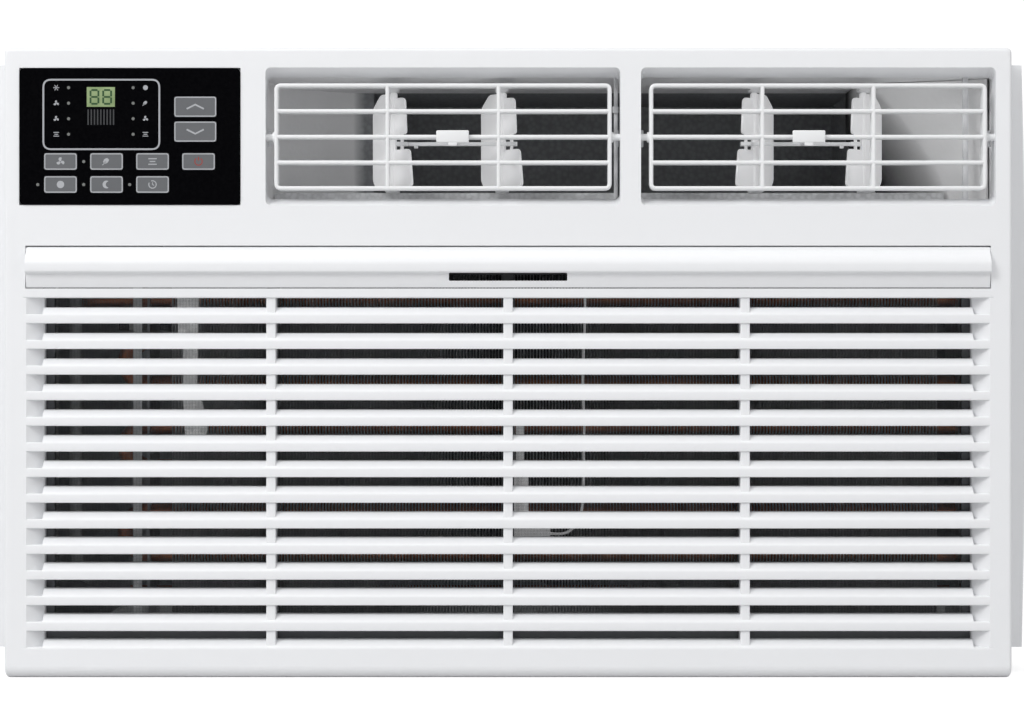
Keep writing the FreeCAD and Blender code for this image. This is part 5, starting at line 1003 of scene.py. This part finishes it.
class UNIT_OT_door(bpy.types.Operator):
    """Filter door with its ridge, finger slot and hinge pins"""
    bl_idname = "unit.door"
    bl_label = "Filter door"

    def execute(self, context):
        outline = door_outline()
        bm = bmesh.new()
        prism(bm, outline, -DOOR_HALF, DOOR_HALF, "X")
        door = plain_object("door_flap", to_mesh(bm, "flap"), ["white shell"])
        bm = bmesh.new()
        prism(bm, soften([(-FINGER_HALF, FINGER_LOW), (FINGER_HALF, FINGER_LOW), (FINGER_HALF, FINGER_HIGH),
                          (-FINGER_HALF, FINGER_HIGH)], 0.0008), FACE_Y - 8 * MM, FACE_Y + 5 * MM, "Y")
        cutter = plain_object("finger_cut", to_mesh(bm, "cut"), ["white shell"])
        modifier = door.modifiers.new("Finger slot", "BOOLEAN")
        modifier.object = cutter
        modifier.solver = "EXACT"
        settle(door)
        bpy.data.objects.remove(cutter)
        bm = bmesh.new()
        for end in (-1, 1):
            turned(bm, [(end * (DOOR_HALF - MM), 1.5 * MM), (end * (DOOR_HALF + 2.9 * MM), 1.5 * MM)],
                   (0, *DOOR_AXIS), "X", 16)
        pins = plain_object("pins", to_mesh(bm, "pins"), ["white shell"])
        whole = merge("door_flap_whole", [door, pins])
        smooth(whole)
        belong(whole, "door", "filter_door", slot="white_shell")
        return {"FINISHED"}


class UNIT_OT_coils(bpy.types.Operator):
    """Close-set fins of both coils"""
    bl_idname = "unit.coils"
    bl_label = "Coil fins"

    def execute(self, context):
        for node in ("evaporator_fins", "condenser_fins"):
            low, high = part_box(node)
            pitch = sizes().fin_pitch
            count = int((high.x - low.x) / pitch)
            start = (low.x + high.x - (count - 1) * pitch) / 2
            bm = bmesh.new()
            ripple = 0.25 * MM
            steps = 6
            front = []
            for step in range(steps + 1):
                y = low.y + (high.y - low.y) * step / steps
                front.append((start + ripple * (step % 2), y))
            back = [(x + 0.14 * MM, y) for x, y in reversed(front)]
            prism(bm, front + back, low.z, high.z, "Z")
            fins = grow(f"{node}_stack", to_mesh(bm, "fin"), rows_tree(), "fin metal", Across=count, Up=1,
                        Pitch_across=pitch, Pitch_up=0.0)
            belong(fins, "chassis", node, slot="fins")
        return {"FINISHED"}


# ------------------------------------------------------------ control panel

def ribbon(bm, points, width, front, slot=0, thick=0.05 * MM):
    """Printed line through (x, z) points, with mitred corners."""
    left = []
    right = []
    for number, point in enumerate(points):
        here = Vector(point)
        before = Vector(points[max(number - 1, 0)])
        after = Vector(points[min(number + 1, len(points) - 1)])
        ahead = (after - before).normalized()
        across = Vector((-ahead.y, ahead.x)) * width / 2
        left.append(here + across)
        right.append(here - across)
    prism(bm, left + right[::-1], front, front + thick, "Y", slot)


def loop_ribbon(bm, points, width, front, slot=0, thick=0.05 * MM):
    """Printed closed line round (x, z) points."""
    count = len(points)
    rings = [[], []]
    for number, point in enumerate(points):
        ahead = (Vector(points[(number + 1) % count]) - Vector(points[number - 1])).normalized()
        across = Vector((-ahead.y, ahead.x)) * width / 2
        rings[0].append(Vector(point) + across)
        rings[1].append(Vector(point) - across)
    loops = []
    for ring, depth in ((0, front), (0, front + thick), (1, front + thick), (1, front)):
        loops.append([bm.verts.new((x, depth, z)) for x, z in rings[ring]])
    for first, second in zip(loops, loops[1:] + loops[:1]):
        for number in range(count):
            after = (number + 1) % count
            face = bm.faces.new((first[number], first[after], second[after], second[number]))
            face.material_index = slot


def circle(x, z, radius, start=0.0, end=360.0, steps=20):
    """Points of an arc, angles in degrees from the right."""
    points = []
    for step in range(steps + 1):
        angle = math.radians(start + (end - start) * step / steps)
        points.append((x + radius * math.cos(angle), z + radius * math.sin(angle)))
    return points


def icon(bm, kind, x, z, size, front, slot):
    """One printed symbol, size in metres across."""
    unit = size / 2
    line = size * 0.12

    def shift(points):
        return [(x + a * unit, z + b * unit) for a, b in points]

    if kind == "up":
        ribbon(bm, shift([(-1, -0.25), (0, 0.25), (1, -0.25)]), line * 0.8, front, slot)
    elif kind == "down":
        ribbon(bm, shift([(-1, 0.25), (0, -0.25), (1, 0.25)]), line * 0.8, front, slot)
    elif kind == "fan":
        for turn in (90, 210, 330):
            angle = math.radians(turn)
            hub = (x + 0.5 * unit * math.cos(angle), z + 0.5 * unit * math.sin(angle))
            petal = circle(*hub, unit * 0.42, turn - 40, turn + 200, 10)
            prism(bm, petal, front, front + 0.05 * MM, "Y", slot)
    elif kind == "leaf":
        leaf = circle(x + 0.25 * unit, z - 0.25 * unit, unit, 95, 175, 8)
        leaf += circle(x - 0.45 * unit, z + 0.5 * unit, unit, -85, -5, 8)
        prism(bm, leaf, front, front + 0.05 * MM, "Y", slot)
        ribbon(bm, shift([(-0.9, -0.8), (-0.1, 0.0)]), line * 0.7, front, slot)
    elif kind == "bars":
        for row, width in ((0.6, 0.9), (0.0, 0.6), (-0.6, 0.9)):
            ribbon(bm, shift([(-width, row), (width, row)]), line, front, slot)
    elif kind == "power":
        ribbon(bm, circle(x, z, unit * 0.8, 125, 415), line, front, slot)
        ribbon(bm, shift([(0, 0.2), (0, 1.0)]), line, front, slot)
    elif kind == "ring":
        prism(bm, circle(x, z, unit * 0.8, 0, 342, 19), front, front + 0.05 * MM, "Y", slot)
    elif kind == "moon":
        moon = circle(x, z, unit * 0.85, 60, 300, 14) + circle(x + 0.45 * unit, z, unit * 0.62, 250, 110, 10)
        prism(bm, moon, front, front + 0.05 * MM, "Y", slot)
    elif kind == "timer":
        ribbon(bm, circle(x, z, unit * 0.8, 150, 470), line * 0.9, front, slot)
        ribbon(bm, shift([(0, 0.45), (0, 0), (0.35, -0.2)]), line * 0.8, front, slot)
    elif kind == "star":
        for turn in (0, 60, 120):
            angle = math.radians(turn)
            ribbon(bm, shift([(-math.cos(angle), -math.sin(angle)), (math.cos(angle), math.sin(angle))]),
                   line * 0.9, front, slot)


KEY_ICONS = {"fan_speed": "fan", "energy_saver": "leaf", "mode": "bars", "power": "power", "filter_reset": "ring",
             "sleep": "moon", "timer": "timer", "up": "up", "down": "down"}


def key_face(name, kind):
    """Raised border and symbol on the cap of one key."""
    low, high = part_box(f"key_{name}")
    grip = 1.0 * MM
    low_x, high_x, low_z, high_z = low.x + grip, high.x - grip, low.z + grip, high.z - grip
    front = low.y
    x = (low_x + high_x) / 2
    z = (low_z + high_z) / 2
    bm = bmesh.new()
    border = soften([(low_x + 0.35 * MM, low_z + 0.35 * MM), (high_x - 0.35 * MM, low_z + 0.35 * MM),
                     (high_x - 0.35 * MM, high_z - 0.35 * MM), (low_x + 0.35 * MM, high_z - 0.35 * MM)], 0.0012, 4)
    loop_ribbon(bm, border, 0.7 * MM, front - 0.05 * MM, 0)
    size = 10.0 * MM if kind in ("up", "down") else 5.4 * MM
    icon(bm, kind, x, z, size, front - 0.05 * MM, 1)
    labels = ["key edge", "print red" if kind == "power" else "print white"]
    marks = plain_object(f"marks_{name}", to_mesh(bm, "marks"), labels)
    belong(marks, f"button_{name}", slot="key_grey")


SEGMENTS = {"a": ((0, 1), True), "g": ((0, 0), True), "d": ((0, -1), True), "f": ((-1, 0.5), False),
            "b": ((1, 0.5), False), "e": ((-1, -0.5), False), "c": ((1, -0.5), False)}


def display_marks():
    """Display block, its digits, the silver frame and the small symbols."""
    low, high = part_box("led_display")
    front = BEZEL_Y - 0.08 * MM
    bm = bmesh.new()
    block(bm, (low.x, front, low.z), (high.x, front + 0.1 * MM, high.z), 0.02 * MM, 1, 0)
    middle_z = (low.z + high.z) / 2
    for digit in (-1, 1):
        x = (low.x + high.x) / 2 + digit * 3.7 * MM
        for place, level in SEGMENTS.values():
            spot_x = x + place[0] * 2.3 * MM
            spot_z = middle_z + place[1] * 4.0 * MM
            reach = 1.75 * MM
            ends = ([(spot_x - reach, spot_z), (spot_x + reach, spot_z)] if level
                    else [(spot_x, spot_z - reach * 0.97), (spot_x, spot_z + reach * 0.97)])
            ribbon(bm, ends, 1.1 * MM, front - 0.06 * MM, 1)
    left = -270.8 * MM
    right = -203.2 * MM
    top = OUTLET_MIDDLE + 33.0 * MM
    bottom = OUTLET_MIDDLE - 7.5 * MM
    line = soften([(left, bottom), (right, bottom), (right, top), (left, top)], 0.0045, 6)
    loop_ribbon(bm, line, 1.0 * MM, front, 2)
    for number in range(9):
        x = low.x + 0.8 * MM + number * 1.85 * MM
        ribbon(bm, [(x, low.z - 10.5 * MM), (x, low.z - 1.5 * MM)], 0.8 * MM, front, 3)
    lamp_x = CONTROL_X - 16.8 * MM
    kinds = ("star", "fan", "fan", "bars"), ("ring", "leaf", "fan", "bars")
    for column, side in enumerate((-1, 1)):
        for row in range(4):
            z = OUTLET_MIDDLE + (12.7 + (1.73 - row) * 9.05) * MM
            spot = lamp_x + side * 18.8 * MM
            prism(bm, circle(spot, z, 0.9 * MM, 0, 340, 17), front, front + 0.05 * MM, "Y", 4)
            icon(bm, kinds[column][row], spot + side * 7.2 * MM, z, 3.6 * MM, front, 2)
    marks = plain_object("panel_marks", to_mesh(bm, "marks"),
                         ["display glow", "digit green", "print silver", "print dark", "lamp"])
    belong(marks, "chassis", slot="digits")


class UNIT_OT_controls(bpy.types.Operator):
    """Printed marks of the control panel and its keys"""
    bl_idname = "unit.controls"
    bl_label = "Control panel"

    def execute(self, context):
        for name, kind in KEY_ICONS.items():
            key_face(name, kind)
        display_marks()
        return {"FINISHED"}


# --------------------------------------------------------- inside the front

DUCT_FLOOR = 275.0
DEFLECTOR_Z = (275.6, 352.2)
DEFLECTOR_ROWS = 24
DEFLECTOR_BENDS = 8
DEFLECTOR_WALL = 1.5 * MM
DUCT_THROAT = 212.0
RIB_Y = (-234.0 * MM, -230.5 * MM)
CLIP_PLACES = (-140.2, 64.2, 78.8, 283.2)
SILL_SPANS = ((-140.5, 64.9), (78.0, 263.0))
LEAD_RADIUS = 0.8 * MM


def crease_x(height):
    """Where the deflector's crease stands at one height, in millimetres."""
    rise = height - 285
    return 266 - 0.36 * rise - 0.0053 * rise * rise


class UNIT_OT_inside(bpy.types.Operator):
    """Deflector, ribs and sills in the outlets, the coil's front flange and the sensor's lead"""
    bl_idname = "unit.inside"
    bl_label = "Inside the front"

    def execute(self, context):
        self.deflector()
        self.ribs()
        self.sills()
        self.flange()
        self.paint_fin_highlight()
        self.sensor_lead()
        return {"FINISHED"}

    def deflector(self):
        """Folded wall that turns the air forward at the right end of the duct."""
        bm = bmesh.new()
        rows = []
        low, high = DEFLECTOR_Z
        for row in range(DEFLECTOR_ROWS + 1):
            height = low + (high - low) * row / DEFLECTOR_ROWS
            crease = crease_x(height)
            plan = [(crease - 34, -152), (crease - 28, -160), (crease - 20, -172), (crease - 10, -189),
                    (crease - 3, -201), (crease - 1, -204), (crease, -205.2), (crease + 1.5, -206)]
            for step in range(1, DEFLECTOR_BENDS + 1):
                share = step / DEFLECTOR_BENDS
                plan.append((crease + 1.5 + (284 - crease - 1.5) * share, -206 - 24 * share ** 1.15))
            rows.append([bm.verts.new((max(x, DUCT_THROAT) * MM, y * MM, height * MM)) for x, y in plan])
        for first, second in zip(rows, rows[1:]):
            for number in range(len(first) - 1):
                bm.faces.new((first[number], first[number + 1], second[number + 1], second[number]))
        wall = plain_object("duct_deflector", to_mesh(bm, "deflector"), ["shaded foam"])
        modifier = wall.modifiers.new("Wall", "SOLIDIFY")
        modifier.thickness = DEFLECTOR_WALL
        modifier.offset = 0.0
        settle(wall)
        belong(wall, "chassis", slot="foam_duct")

    def ribs(self):
        """Upright ribs behind the louvers' right ends, and the clips that hold the pivot pins."""
        bm = bmesh.new()
        for left, right in ((269.0, 272.2), (62.6, 64.9)):
            block(bm, (left * MM, RIB_Y[0], 278 * MM), (right * MM, RIB_Y[1], 354.5 * MM), 0.6 * MM)
        for x in CLIP_PLACES:
            block(bm, ((x - 0.9) * MM, -240.5 * MM, 311.0 * MM), ((x + 0.9) * MM, -238.0 * MM, 321.0 * MM),
                  0.5 * MM)
        block(bm, (61.6 * MM, -235.5 * MM, 331.5 * MM), (65.2 * MM, -234.2 * MM, 335.5 * MM), 0.4 * MM)
        ribs = plain_object("outlet_ribs", to_mesh(bm, "ribs"), ["white shell"])
        belong(ribs, "chassis", slot="white_shell")

    def sills(self):
        """Raised lip along the front of the duct's floor in both outlets."""
        bm = bmesh.new()
        outline = [(-206.4, DUCT_FLOOR), (-206.4, 286.4), (-204.8, 286.4), (-204.8, DUCT_FLOOR)]
        outline = soften([(y * MM, z * MM) for y, z in outline], [0, 0.0005, 0.0005, 0])
        for left, right in SILL_SPANS:
            prism(bm, outline, left * MM, right * MM, "X")
        sills = plain_object("duct_sills", to_mesh(bm, "sills"), ["sill foam"])
        belong(sills, "chassis", slot="foam_duct")

    def flange(self):
        """Folded edge of the evaporator's left end plate."""
        low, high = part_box("evaporator_fins")
        bm = bmesh.new()
        outline = [(low.x - 20.9 * MM, low.y - 5.0 * MM), (low.x - 15.7 * MM, low.y - 5.0 * MM),
                   (low.x - 15.7 * MM, low.y - 4.3 * MM), (low.x - 20.2 * MM, low.y - 4.3 * MM),
                   (low.x - 20.2 * MM, low.y + 6 * MM), (low.x - 20.9 * MM, low.y + 6 * MM)]
        prism(bm, outline, low.z, high.z, "Z")
        # Painted light: the flange's finish is lighter than the end plate's zinc and glows faintly.
        edge = plain_object("coil_flange", to_mesh(bm, "flange"), ["bright zinc"])
        belong(edge, "chassis", slot="zinc_steel")

    def paint_fin_highlight(self):
        """Pale sheet down the front of the fins: a painted highlight where bent fins catch the light."""
        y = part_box("evaporator_fins")[0].y
        outline = [(-195.8, 225.9), (-183.3, 225.9), (-183.9, 194.5), (-184.5, 170.8), (-180.9, 159.0), (-178.0, 144.1),
                   (-179.7, 139.9), (-191.0, 139.9), (-192.2, 161.9), (-192.2, 197.5), (-195.2, 201.6)]
        bm = bmesh.new()
        prism(bm, soften([(x * MM, z * MM) for x, z in outline], 0.0012), y - 6.0 * MM, y - 0.6 * MM, "Y")
        tape = plain_object("foil_tape", to_mesh(bm, "tape"), ["foil tape"])
        belong(tape, "chassis", slot="zinc_steel")

    def sensor_lead(self):
        """Thin pale lead from the sensor's foot up the front of the fins."""
        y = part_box("evaporator_fins")[0].y - 1.4 * MM
        path = [(24, 83), (30, 82), (37, 84), (42, 90), (44.5, 100), (45, 118), (44.8, 135), (45.4, 150), (44, 170),
                (45, 195), (46, 220), (45, 243)]
        curve = bpy.data.curves.new("lead", "CURVE")
        curve.dimensions = "3D"
        spline = curve.splines.new("NURBS")
        spline.points.add(len(path) - 1)
        for point, (x, z) in zip(spline.points, path):
            point.co = (x * MM, y, z * MM, 1.0)
        spline.order_u = 3
        spline.use_endpoint_u = True
        curve.bevel_depth = LEAD_RADIUS
        curve.bevel_resolution = 3
        curve.use_fill_caps = True
        holder = bpy.data.objects.new("lead_curve", curve)
        bpy.context.scene.collection.objects.link(holder)
        graph = bpy.context.evaluated_depsgraph_get()
        mesh = bpy.data.meshes.new_from_object(holder.evaluated_get(graph))
        bpy.data.objects.remove(holder)
        mesh.materials.clear()
        lead = plain_object("sensor_lead", mesh, ["sensor white"])
        belong(lead, "chassis", slot="sheath")


# ------------------------------------------------------------------- fans

class UNIT_OT_fans(bpy.types.Operator):
    """Blower wheel and rear fan with curved blades"""
    bl_idname = "unit.fans"
    bl_label = "Fans"

    def execute(self, context):
        self.wheel()
        self.rear_fan()
        return {"FINISHED"}

    def wheel(self):
        """Drum of forward-curved blades between a back plate and a ring."""
        low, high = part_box("blower_wheel")
        middle = Vector((*SHAFT, 0)).xzy
        radius = (high.x - low.x) / 2
        bm = bmesh.new()
        front = []
        for step in range(6):
            angle = math.radians(-8 + 22 * (step / 5) ** 1.4)
            reach = radius - 13 * MM + 12 * MM * step / 5
            front.append((reach * math.cos(angle), reach * math.sin(angle)))
        back = [(x * 0.997 + 0.0004, z + 0.9 * MM) for x, z in reversed(front)]
        prism(bm, front + back, low.y + 2 * MM, high.y - 2 * MM, "Y")
        blades = grow("blades", to_mesh(bm, "blade"), ring_tree(), "black plastic", Count=sizes().wheel_blades,
                      Centre=(SHAFT[0], 0.0, SHAFT[1]))
        bm = bmesh.new()
        centre = (middle.x, 0, middle.z)
        hoop = soften([(low.y, radius - 12 * MM), (low.y, radius), (low.y + 3 * MM, radius),
                       (low.y + 3 * MM, radius - 12 * MM)], 0.0008, 2)
        hoop_solid(bm, hoop, centre, 72)
        shaft = 6.1 * MM
        plate = [(high.y, shaft), (high.y, radius - MM), (high.y - MM, radius), (high.y - 3 * MM, radius),
                 (high.y - 3 * MM, 34 * MM), (high.y - 18 * MM, 14 * MM), (high.y - 20 * MM, 12 * MM),
                 (high.y - 20 * MM, shaft)]
        hoop_solid(bm, plate, centre, 72)
        drum = plain_object("drum", to_mesh(bm, "drum"), ["black plastic"])
        whole = merge("blower_drum", [blades, drum])
        smooth(whole)
        belong(whole, "fan_rotor", "blower_wheel", slot="black_plastic")

    def rear_fan(self):
        """Five swept blades, a domed hub and the slinger ring."""
        low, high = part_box("condenser_fan")
        radius = (high.x - low.x) / 2
        middle_y = (low.y + high.y) / 2
        bm = bmesh.new()
        rows = []
        steps_out = 8
        steps_along = 8
        for number in range(steps_out + 1):
            share = number / steps_out
            reach = 26 * MM + (radius - 6 * MM - 26 * MM) * share
            half = math.radians(34 - 8 * share)
            sweep = math.radians(-10 + 20 * share)
            row = []
            for step in range(steps_along + 1):
                part = step / steps_along * 2 - 1
                angle = sweep + half * part
                rise = (high.y - low.y - 5 * MM) / 2 * -part * (1 - 0.15 * share) + 2.2 * MM * (1 - part * part)
                row.append(Vector((reach * math.cos(angle), middle_y + rise, reach * math.sin(angle))))
            rows.append(row)
        thick = Vector((0, 1.1 * MM, 0))
        sheets = [[[bm.verts.new(spot + way * thick) for spot in row] for row in rows] for way in (-1, 1)]
        for sheet in sheets:
            for first, second in zip(sheet, sheet[1:]):
                for step in range(steps_along):
                    bm.faces.new((first[step], first[step + 1], second[step + 1], second[step]))
        rims = []
        for sheet in sheets:
            rims.append(sheet[0] + [row[-1] for row in sheet[1:]] + sheet[-1][-2::-1] +
                        [row[0] for row in sheet[-2:0:-1]])
        count = len(rims[0])
        for number in range(count):
            after = (number + 1) % count
            bm.faces.new((rims[0][number], rims[0][after], rims[1][after], rims[1][number]))
        blades = grow("blades", to_mesh(bm, "blade"), ring_tree(), "black plastic", Count=sizes().fan_blades,
                      Centre=(SHAFT[0], 0.0, SHAFT[1]))
        bm = bmesh.new()
        centre = (SHAFT[0], 0, SHAFT[1])
        ring_y = high.y - 12 * MM
        hoop_solid(bm, soften([(ring_y, radius - 5 * MM), (ring_y, radius), (ring_y + 10 * MM, radius),
                               (ring_y + 10 * MM, radius - 5 * MM)], 0.001, 2), centre, 96)
        hoop_solid(bm, [(low.y, 6.1 * MM), (low.y, 24 * MM), (low.y + 4 * MM, 28 * MM), (high.y - 3 * MM, 28 * MM),
                        (high.y, 25 * MM), (high.y, 6.1 * MM)], centre, 48)
        hub = plain_object("hub", to_mesh(bm, "hub"), ["black plastic"])
        whole = merge("rear_fan", [blades, hub])
        smooth(whole)
        belong(whole, "fan_rotor", "condenser_fan", slot="black_plastic")


def hoop_solid(bm, outline, centre, sides):
    """Closed outline of (along Y, radius) points swept round an axis along Y."""
    rings = []
    for side in range(sides):
        angle = 2 * math.pi * side / sides
        rings.append([bm.verts.new((centre[0] + radius * math.cos(angle), along, centre[2] + radius * math.sin(angle)))
                      for along, radius in outline])
    bridge_round(bm, rings)


# ---------------------------------------------------------------- fasteners

class UNIT_OT_screws(bpy.types.Operator):
    """Washer-head screws of the rear panel"""
    bl_idname = "unit.screws"
    bl_label = "Cabinet screws"

    def execute(self, context):
        low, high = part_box("cabinet_screws")
        base = high.y - 2.6 * MM
        bm = bmesh.new()
        hexagon = [(4.0 * MM * math.cos(math.radians(60 * n)), 4.0 * MM * math.sin(math.radians(60 * n)))
                   for n in range(6)]
        prism(bm, soften(hexagon, 0.0004, 1), 0.6 * MM, 2.6 * MM, "Y")
        turned(bm, [(-6 * MM, 1.9 * MM), (0, 2.0 * MM), (0, 4.6 * MM), (0.7 * MM, 4.4 * MM), (0.9 * MM, 3.4 * MM)],
               (0, 0, 0), "Y", 18)
        shape = plain_object("screw_shape", to_mesh(bm, "screw"), ["bolt steel"])
        bm = bmesh.new()
        for x in (low.x + 4.1 * MM, high.x - 4.1 * MM):
            for z in (60 * MM, 175 * MM, 307 * MM):
                bm.verts.new((x, base, z))
        places = bpy.data.meshes.new("screw_places")
        bm.to_mesh(places)
        bm.free()
        screws = grow("panel_screws", places, places_tree(), "bolt steel", Shape=shape)
        bpy.data.objects.remove(shape)
        belong(screws, "chassis", "cabinet_screws", slot="bolt_steel")
        return {"FINISHED"}


# ------------------------------------------------------- carried-over nodes

CARRIED = {
    "front_panel": "white shell", "control_bezel": "gloss black", "display_lens": "gloss black",
    "led_display": "display glow", "indicator_lamps": "lamp", "control_pcb": "board",
    "tact_switches": "black plastic", "control_housing": "white plastic", "air_outlet_duct": "lined foam",
    "filter_frame": "grey plastic", "filter_mesh": "woven mesh", "coil_end_plates": "zinc sheet",
    "evaporator_tubes": "copper", "evaporator_seal": "grey foam", "drain_pan": "pan foam",
    "room_thermistor": "sensor white", "blower_scroll": "grey foam", "fan_shaft": "bolt steel",
    "fan_motor": "motor paint", "motor_bracket": "zinc sheet", "bulkhead": "zinc sheet",
    "condenser_shroud": "black plastic", "condenser_tubes": "copper", "compressor": "black paint",
    "compressor_grommets": "rubber", "compressor_bolts": "bolt steel", "refrigerant_tubes": "copper",
    "electrical_box": "zinc sheet", "run_capacitor": "can", "wire_harness": "sheath", "base_pan": "zinc sheet",
    "cabinet_wrap": "cabinet paint", "rear_panel": "cabinet paint", "cord_gland": "rubber",
}


class UNIT_OT_finishes(bpy.types.Operator):
    """Finishes of the pieces that keep their CAD shape"""
    bl_idname = "unit.finishes"
    bl_label = "Finishes"

    def execute(self, context):
        nodes = dict(CARRIED)
        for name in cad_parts:
            if name.startswith("key_"):
                nodes[name] = "key grey"
        for name, label in nodes.items():
            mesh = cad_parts[name].data
            mesh.materials.clear()
            mesh.materials.append(finish(label))
        return {"FINISHED"}


# ------------------------------------------------------------------- studio

SENSOR = 36.0
VIEW_WIDTH = 1024 * 0.583 * MM
VIEW_END = 50.0
VIEW_X = 2.3 * MM
VIEW_Z = 189.5 * MM
SWEEP_HALF = 6.0
SWEEP_BACK = 1.4
SWEEP_RADIUS = 1.2
SWEEP_STEPS = 12
GROUND_GLOW = 0.7


class UNIT_OT_studio(bpy.types.Operator):
    """Pale sweep, soft lights and the camera"""
    bl_idname = "unit.studio"
    bl_label = "Studio"

    def execute(self, context):
        self.sweep()
        self.lights(context.scene)
        self.camera(context.scene)
        return {"FINISHED"}

    def sweep(self):
        """Floor that curves up into a backdrop behind the unit."""
        bm = bmesh.new()
        profile = [(-SWEEP_HALF, 0.0), (SWEEP_BACK, 0.0)]
        for step in range(1, SWEEP_STEPS + 1):
            angle = math.pi / 2 * step / SWEEP_STEPS
            profile.append((SWEEP_BACK + SWEEP_RADIUS * math.sin(angle), SWEEP_RADIUS - SWEEP_RADIUS * math.cos(angle)))
        profile.append((SWEEP_BACK + SWEEP_RADIUS, SWEEP_HALF))
        rows = [[bm.verts.new((x, y, z)) for y, z in profile] for x in (-SWEEP_HALF, SWEEP_HALF)]
        for step in range(len(profile) - 1):
            bm.faces.new((rows[0][step], rows[1][step], rows[1][step + 1], rows[0][step + 1]))
        mesh = bpy.data.meshes.new("sweep")
        bm.to_mesh(mesh)
        bm.free()
        mesh.shade_smooth()
        floor = bpy.data.objects.new("studio_sweep", mesh)
        bpy.context.scene.collection.objects.link(floor)
        material, tree, shader = start_material("studio paper")
        tone = (*bpy.context.scene.studio_light.backdrop, 1.0)
        fibre = noise(tree, place_socket(tree), 40.0, 3.0)
        tree.links.new(mix_colour(tree, vary(tree, fibre, 0.0, 1.0), shade(tone, 0.995), tone),
                       shader.inputs["Base Color"])
        shader.inputs["Roughness"].default_value = 0.9
        shader.inputs["Emission Color"].default_value = (1.0, 1.0, 1.0, 1.0)
        seen = tree.nodes.new("ShaderNodeLightPath").outputs["Is Camera Ray"]
        tree.links.new(math_node(tree, "MULTIPLY", seen, GROUND_GLOW), shader.inputs["Emission Strength"])
        mesh.materials.append(material)

    def lights(self, scene):
        """Large front light, a top light, a side light and an even surround."""
        settings = scene.studio_light
        for name, place, target, size, power in (
                ("key_light", (-1.9, -2.2, 2.1), (0, -0.2, 0.2), 1.5, settings.key_power),
                ("top_light", (-0.2, -1.0, 2.6), (0, -0.1, 0.2), 1.4, settings.top_power),
                ("fill_light", (2.4, -1.6, 1.2), (0, -0.2, 0.2), 1.6, settings.fill_power)):
            lamp = bpy.data.lights.new(name, "AREA")
            lamp.shape = "SQUARE"
            lamp.size = size
            lamp.energy = power
            holder = bpy.data.objects.new(name, lamp)
            holder.location = place
            holder.rotation_euler = (Vector(target) - Vector(place)).to_track_quat("-Z", "Y").to_euler()
            scene.collection.objects.link(holder)
        world = bpy.data.worlds.new("surround")
        world.use_nodes = True
        background = world.node_tree.nodes["Background"]
        background.inputs[0].default_value = (1.0, 1.0, 1.0, 1.0)
        background.inputs[1].default_value = settings.surround
        scene.world = world
        scene.view_settings.view_transform = "Standard"

    def camera(self, scene):
        """Straight-on view of the front."""
        distance = scene.unit_sizes.camera_distance
        data = bpy.data.cameras.new("front_view")
        data.sensor_width = SENSOR
        data.lens = SENSOR * distance / VIEW_WIDTH
        data.clip_end = VIEW_END
        holder = bpy.data.objects.new("front_view", data)
        holder.location = (VIEW_X, FACE_Y - distance, VIEW_Z)
        holder.rotation_euler = (math.radians(90), 0, 0)
        scene.collection.objects.link(holder)
        scene.camera = holder


# ------------------------------------------------------------ add-on layout

STEPS = (UNIT_OT_finishes, UNIT_OT_grille, UNIT_OT_louvers, UNIT_OT_door, UNIT_OT_coils, UNIT_OT_controls,
         UNIT_OT_inside, UNIT_OT_fans, UNIT_OT_screws, UNIT_OT_studio)


class UNIT_PT_panel(bpy.types.Panel):
    """Sizes, light and the steps that build the unit"""
    bl_idname = "UNIT_PT_panel"
    bl_label = "Air conditioner"
    bl_space_type = "VIEW_3D"
    bl_region_type = "UI"
    bl_category = "Air conditioner"

    def draw(self, context):
        for group in (context.scene.unit_sizes, context.scene.studio_light):
            box = self.layout.box()
            for name in group.__annotations__:
                box.prop(group, name)
        for step in STEPS:
            self.layout.operator(step.bl_idname)


CLASSES = (UnitSizes, StudioLight, *STEPS, UNIT_PT_panel)


def register():
    """Adds the classes and the two groups of settings."""
    for item in CLASSES:
        bpy.utils.register_class(item)
    bpy.types.Scene.unit_sizes = bpy.props.PointerProperty(type=UnitSizes)
    bpy.types.Scene.studio_light = bpy.props.PointerProperty(type=StudioLight)


def unregister():
    """Takes them away again."""
    del bpy.types.Scene.studio_light
    del bpy.types.Scene.unit_sizes
    for item in reversed(CLASSES):
        bpy.utils.unregister_class(item)


def main():
    """Builds every piece in order."""
    register()
    for step in STEPS:
        category, name = step.bl_idname.split(".")
        getattr(getattr(bpy.ops, category), name)()


if __name__ == "__main__":
    main()
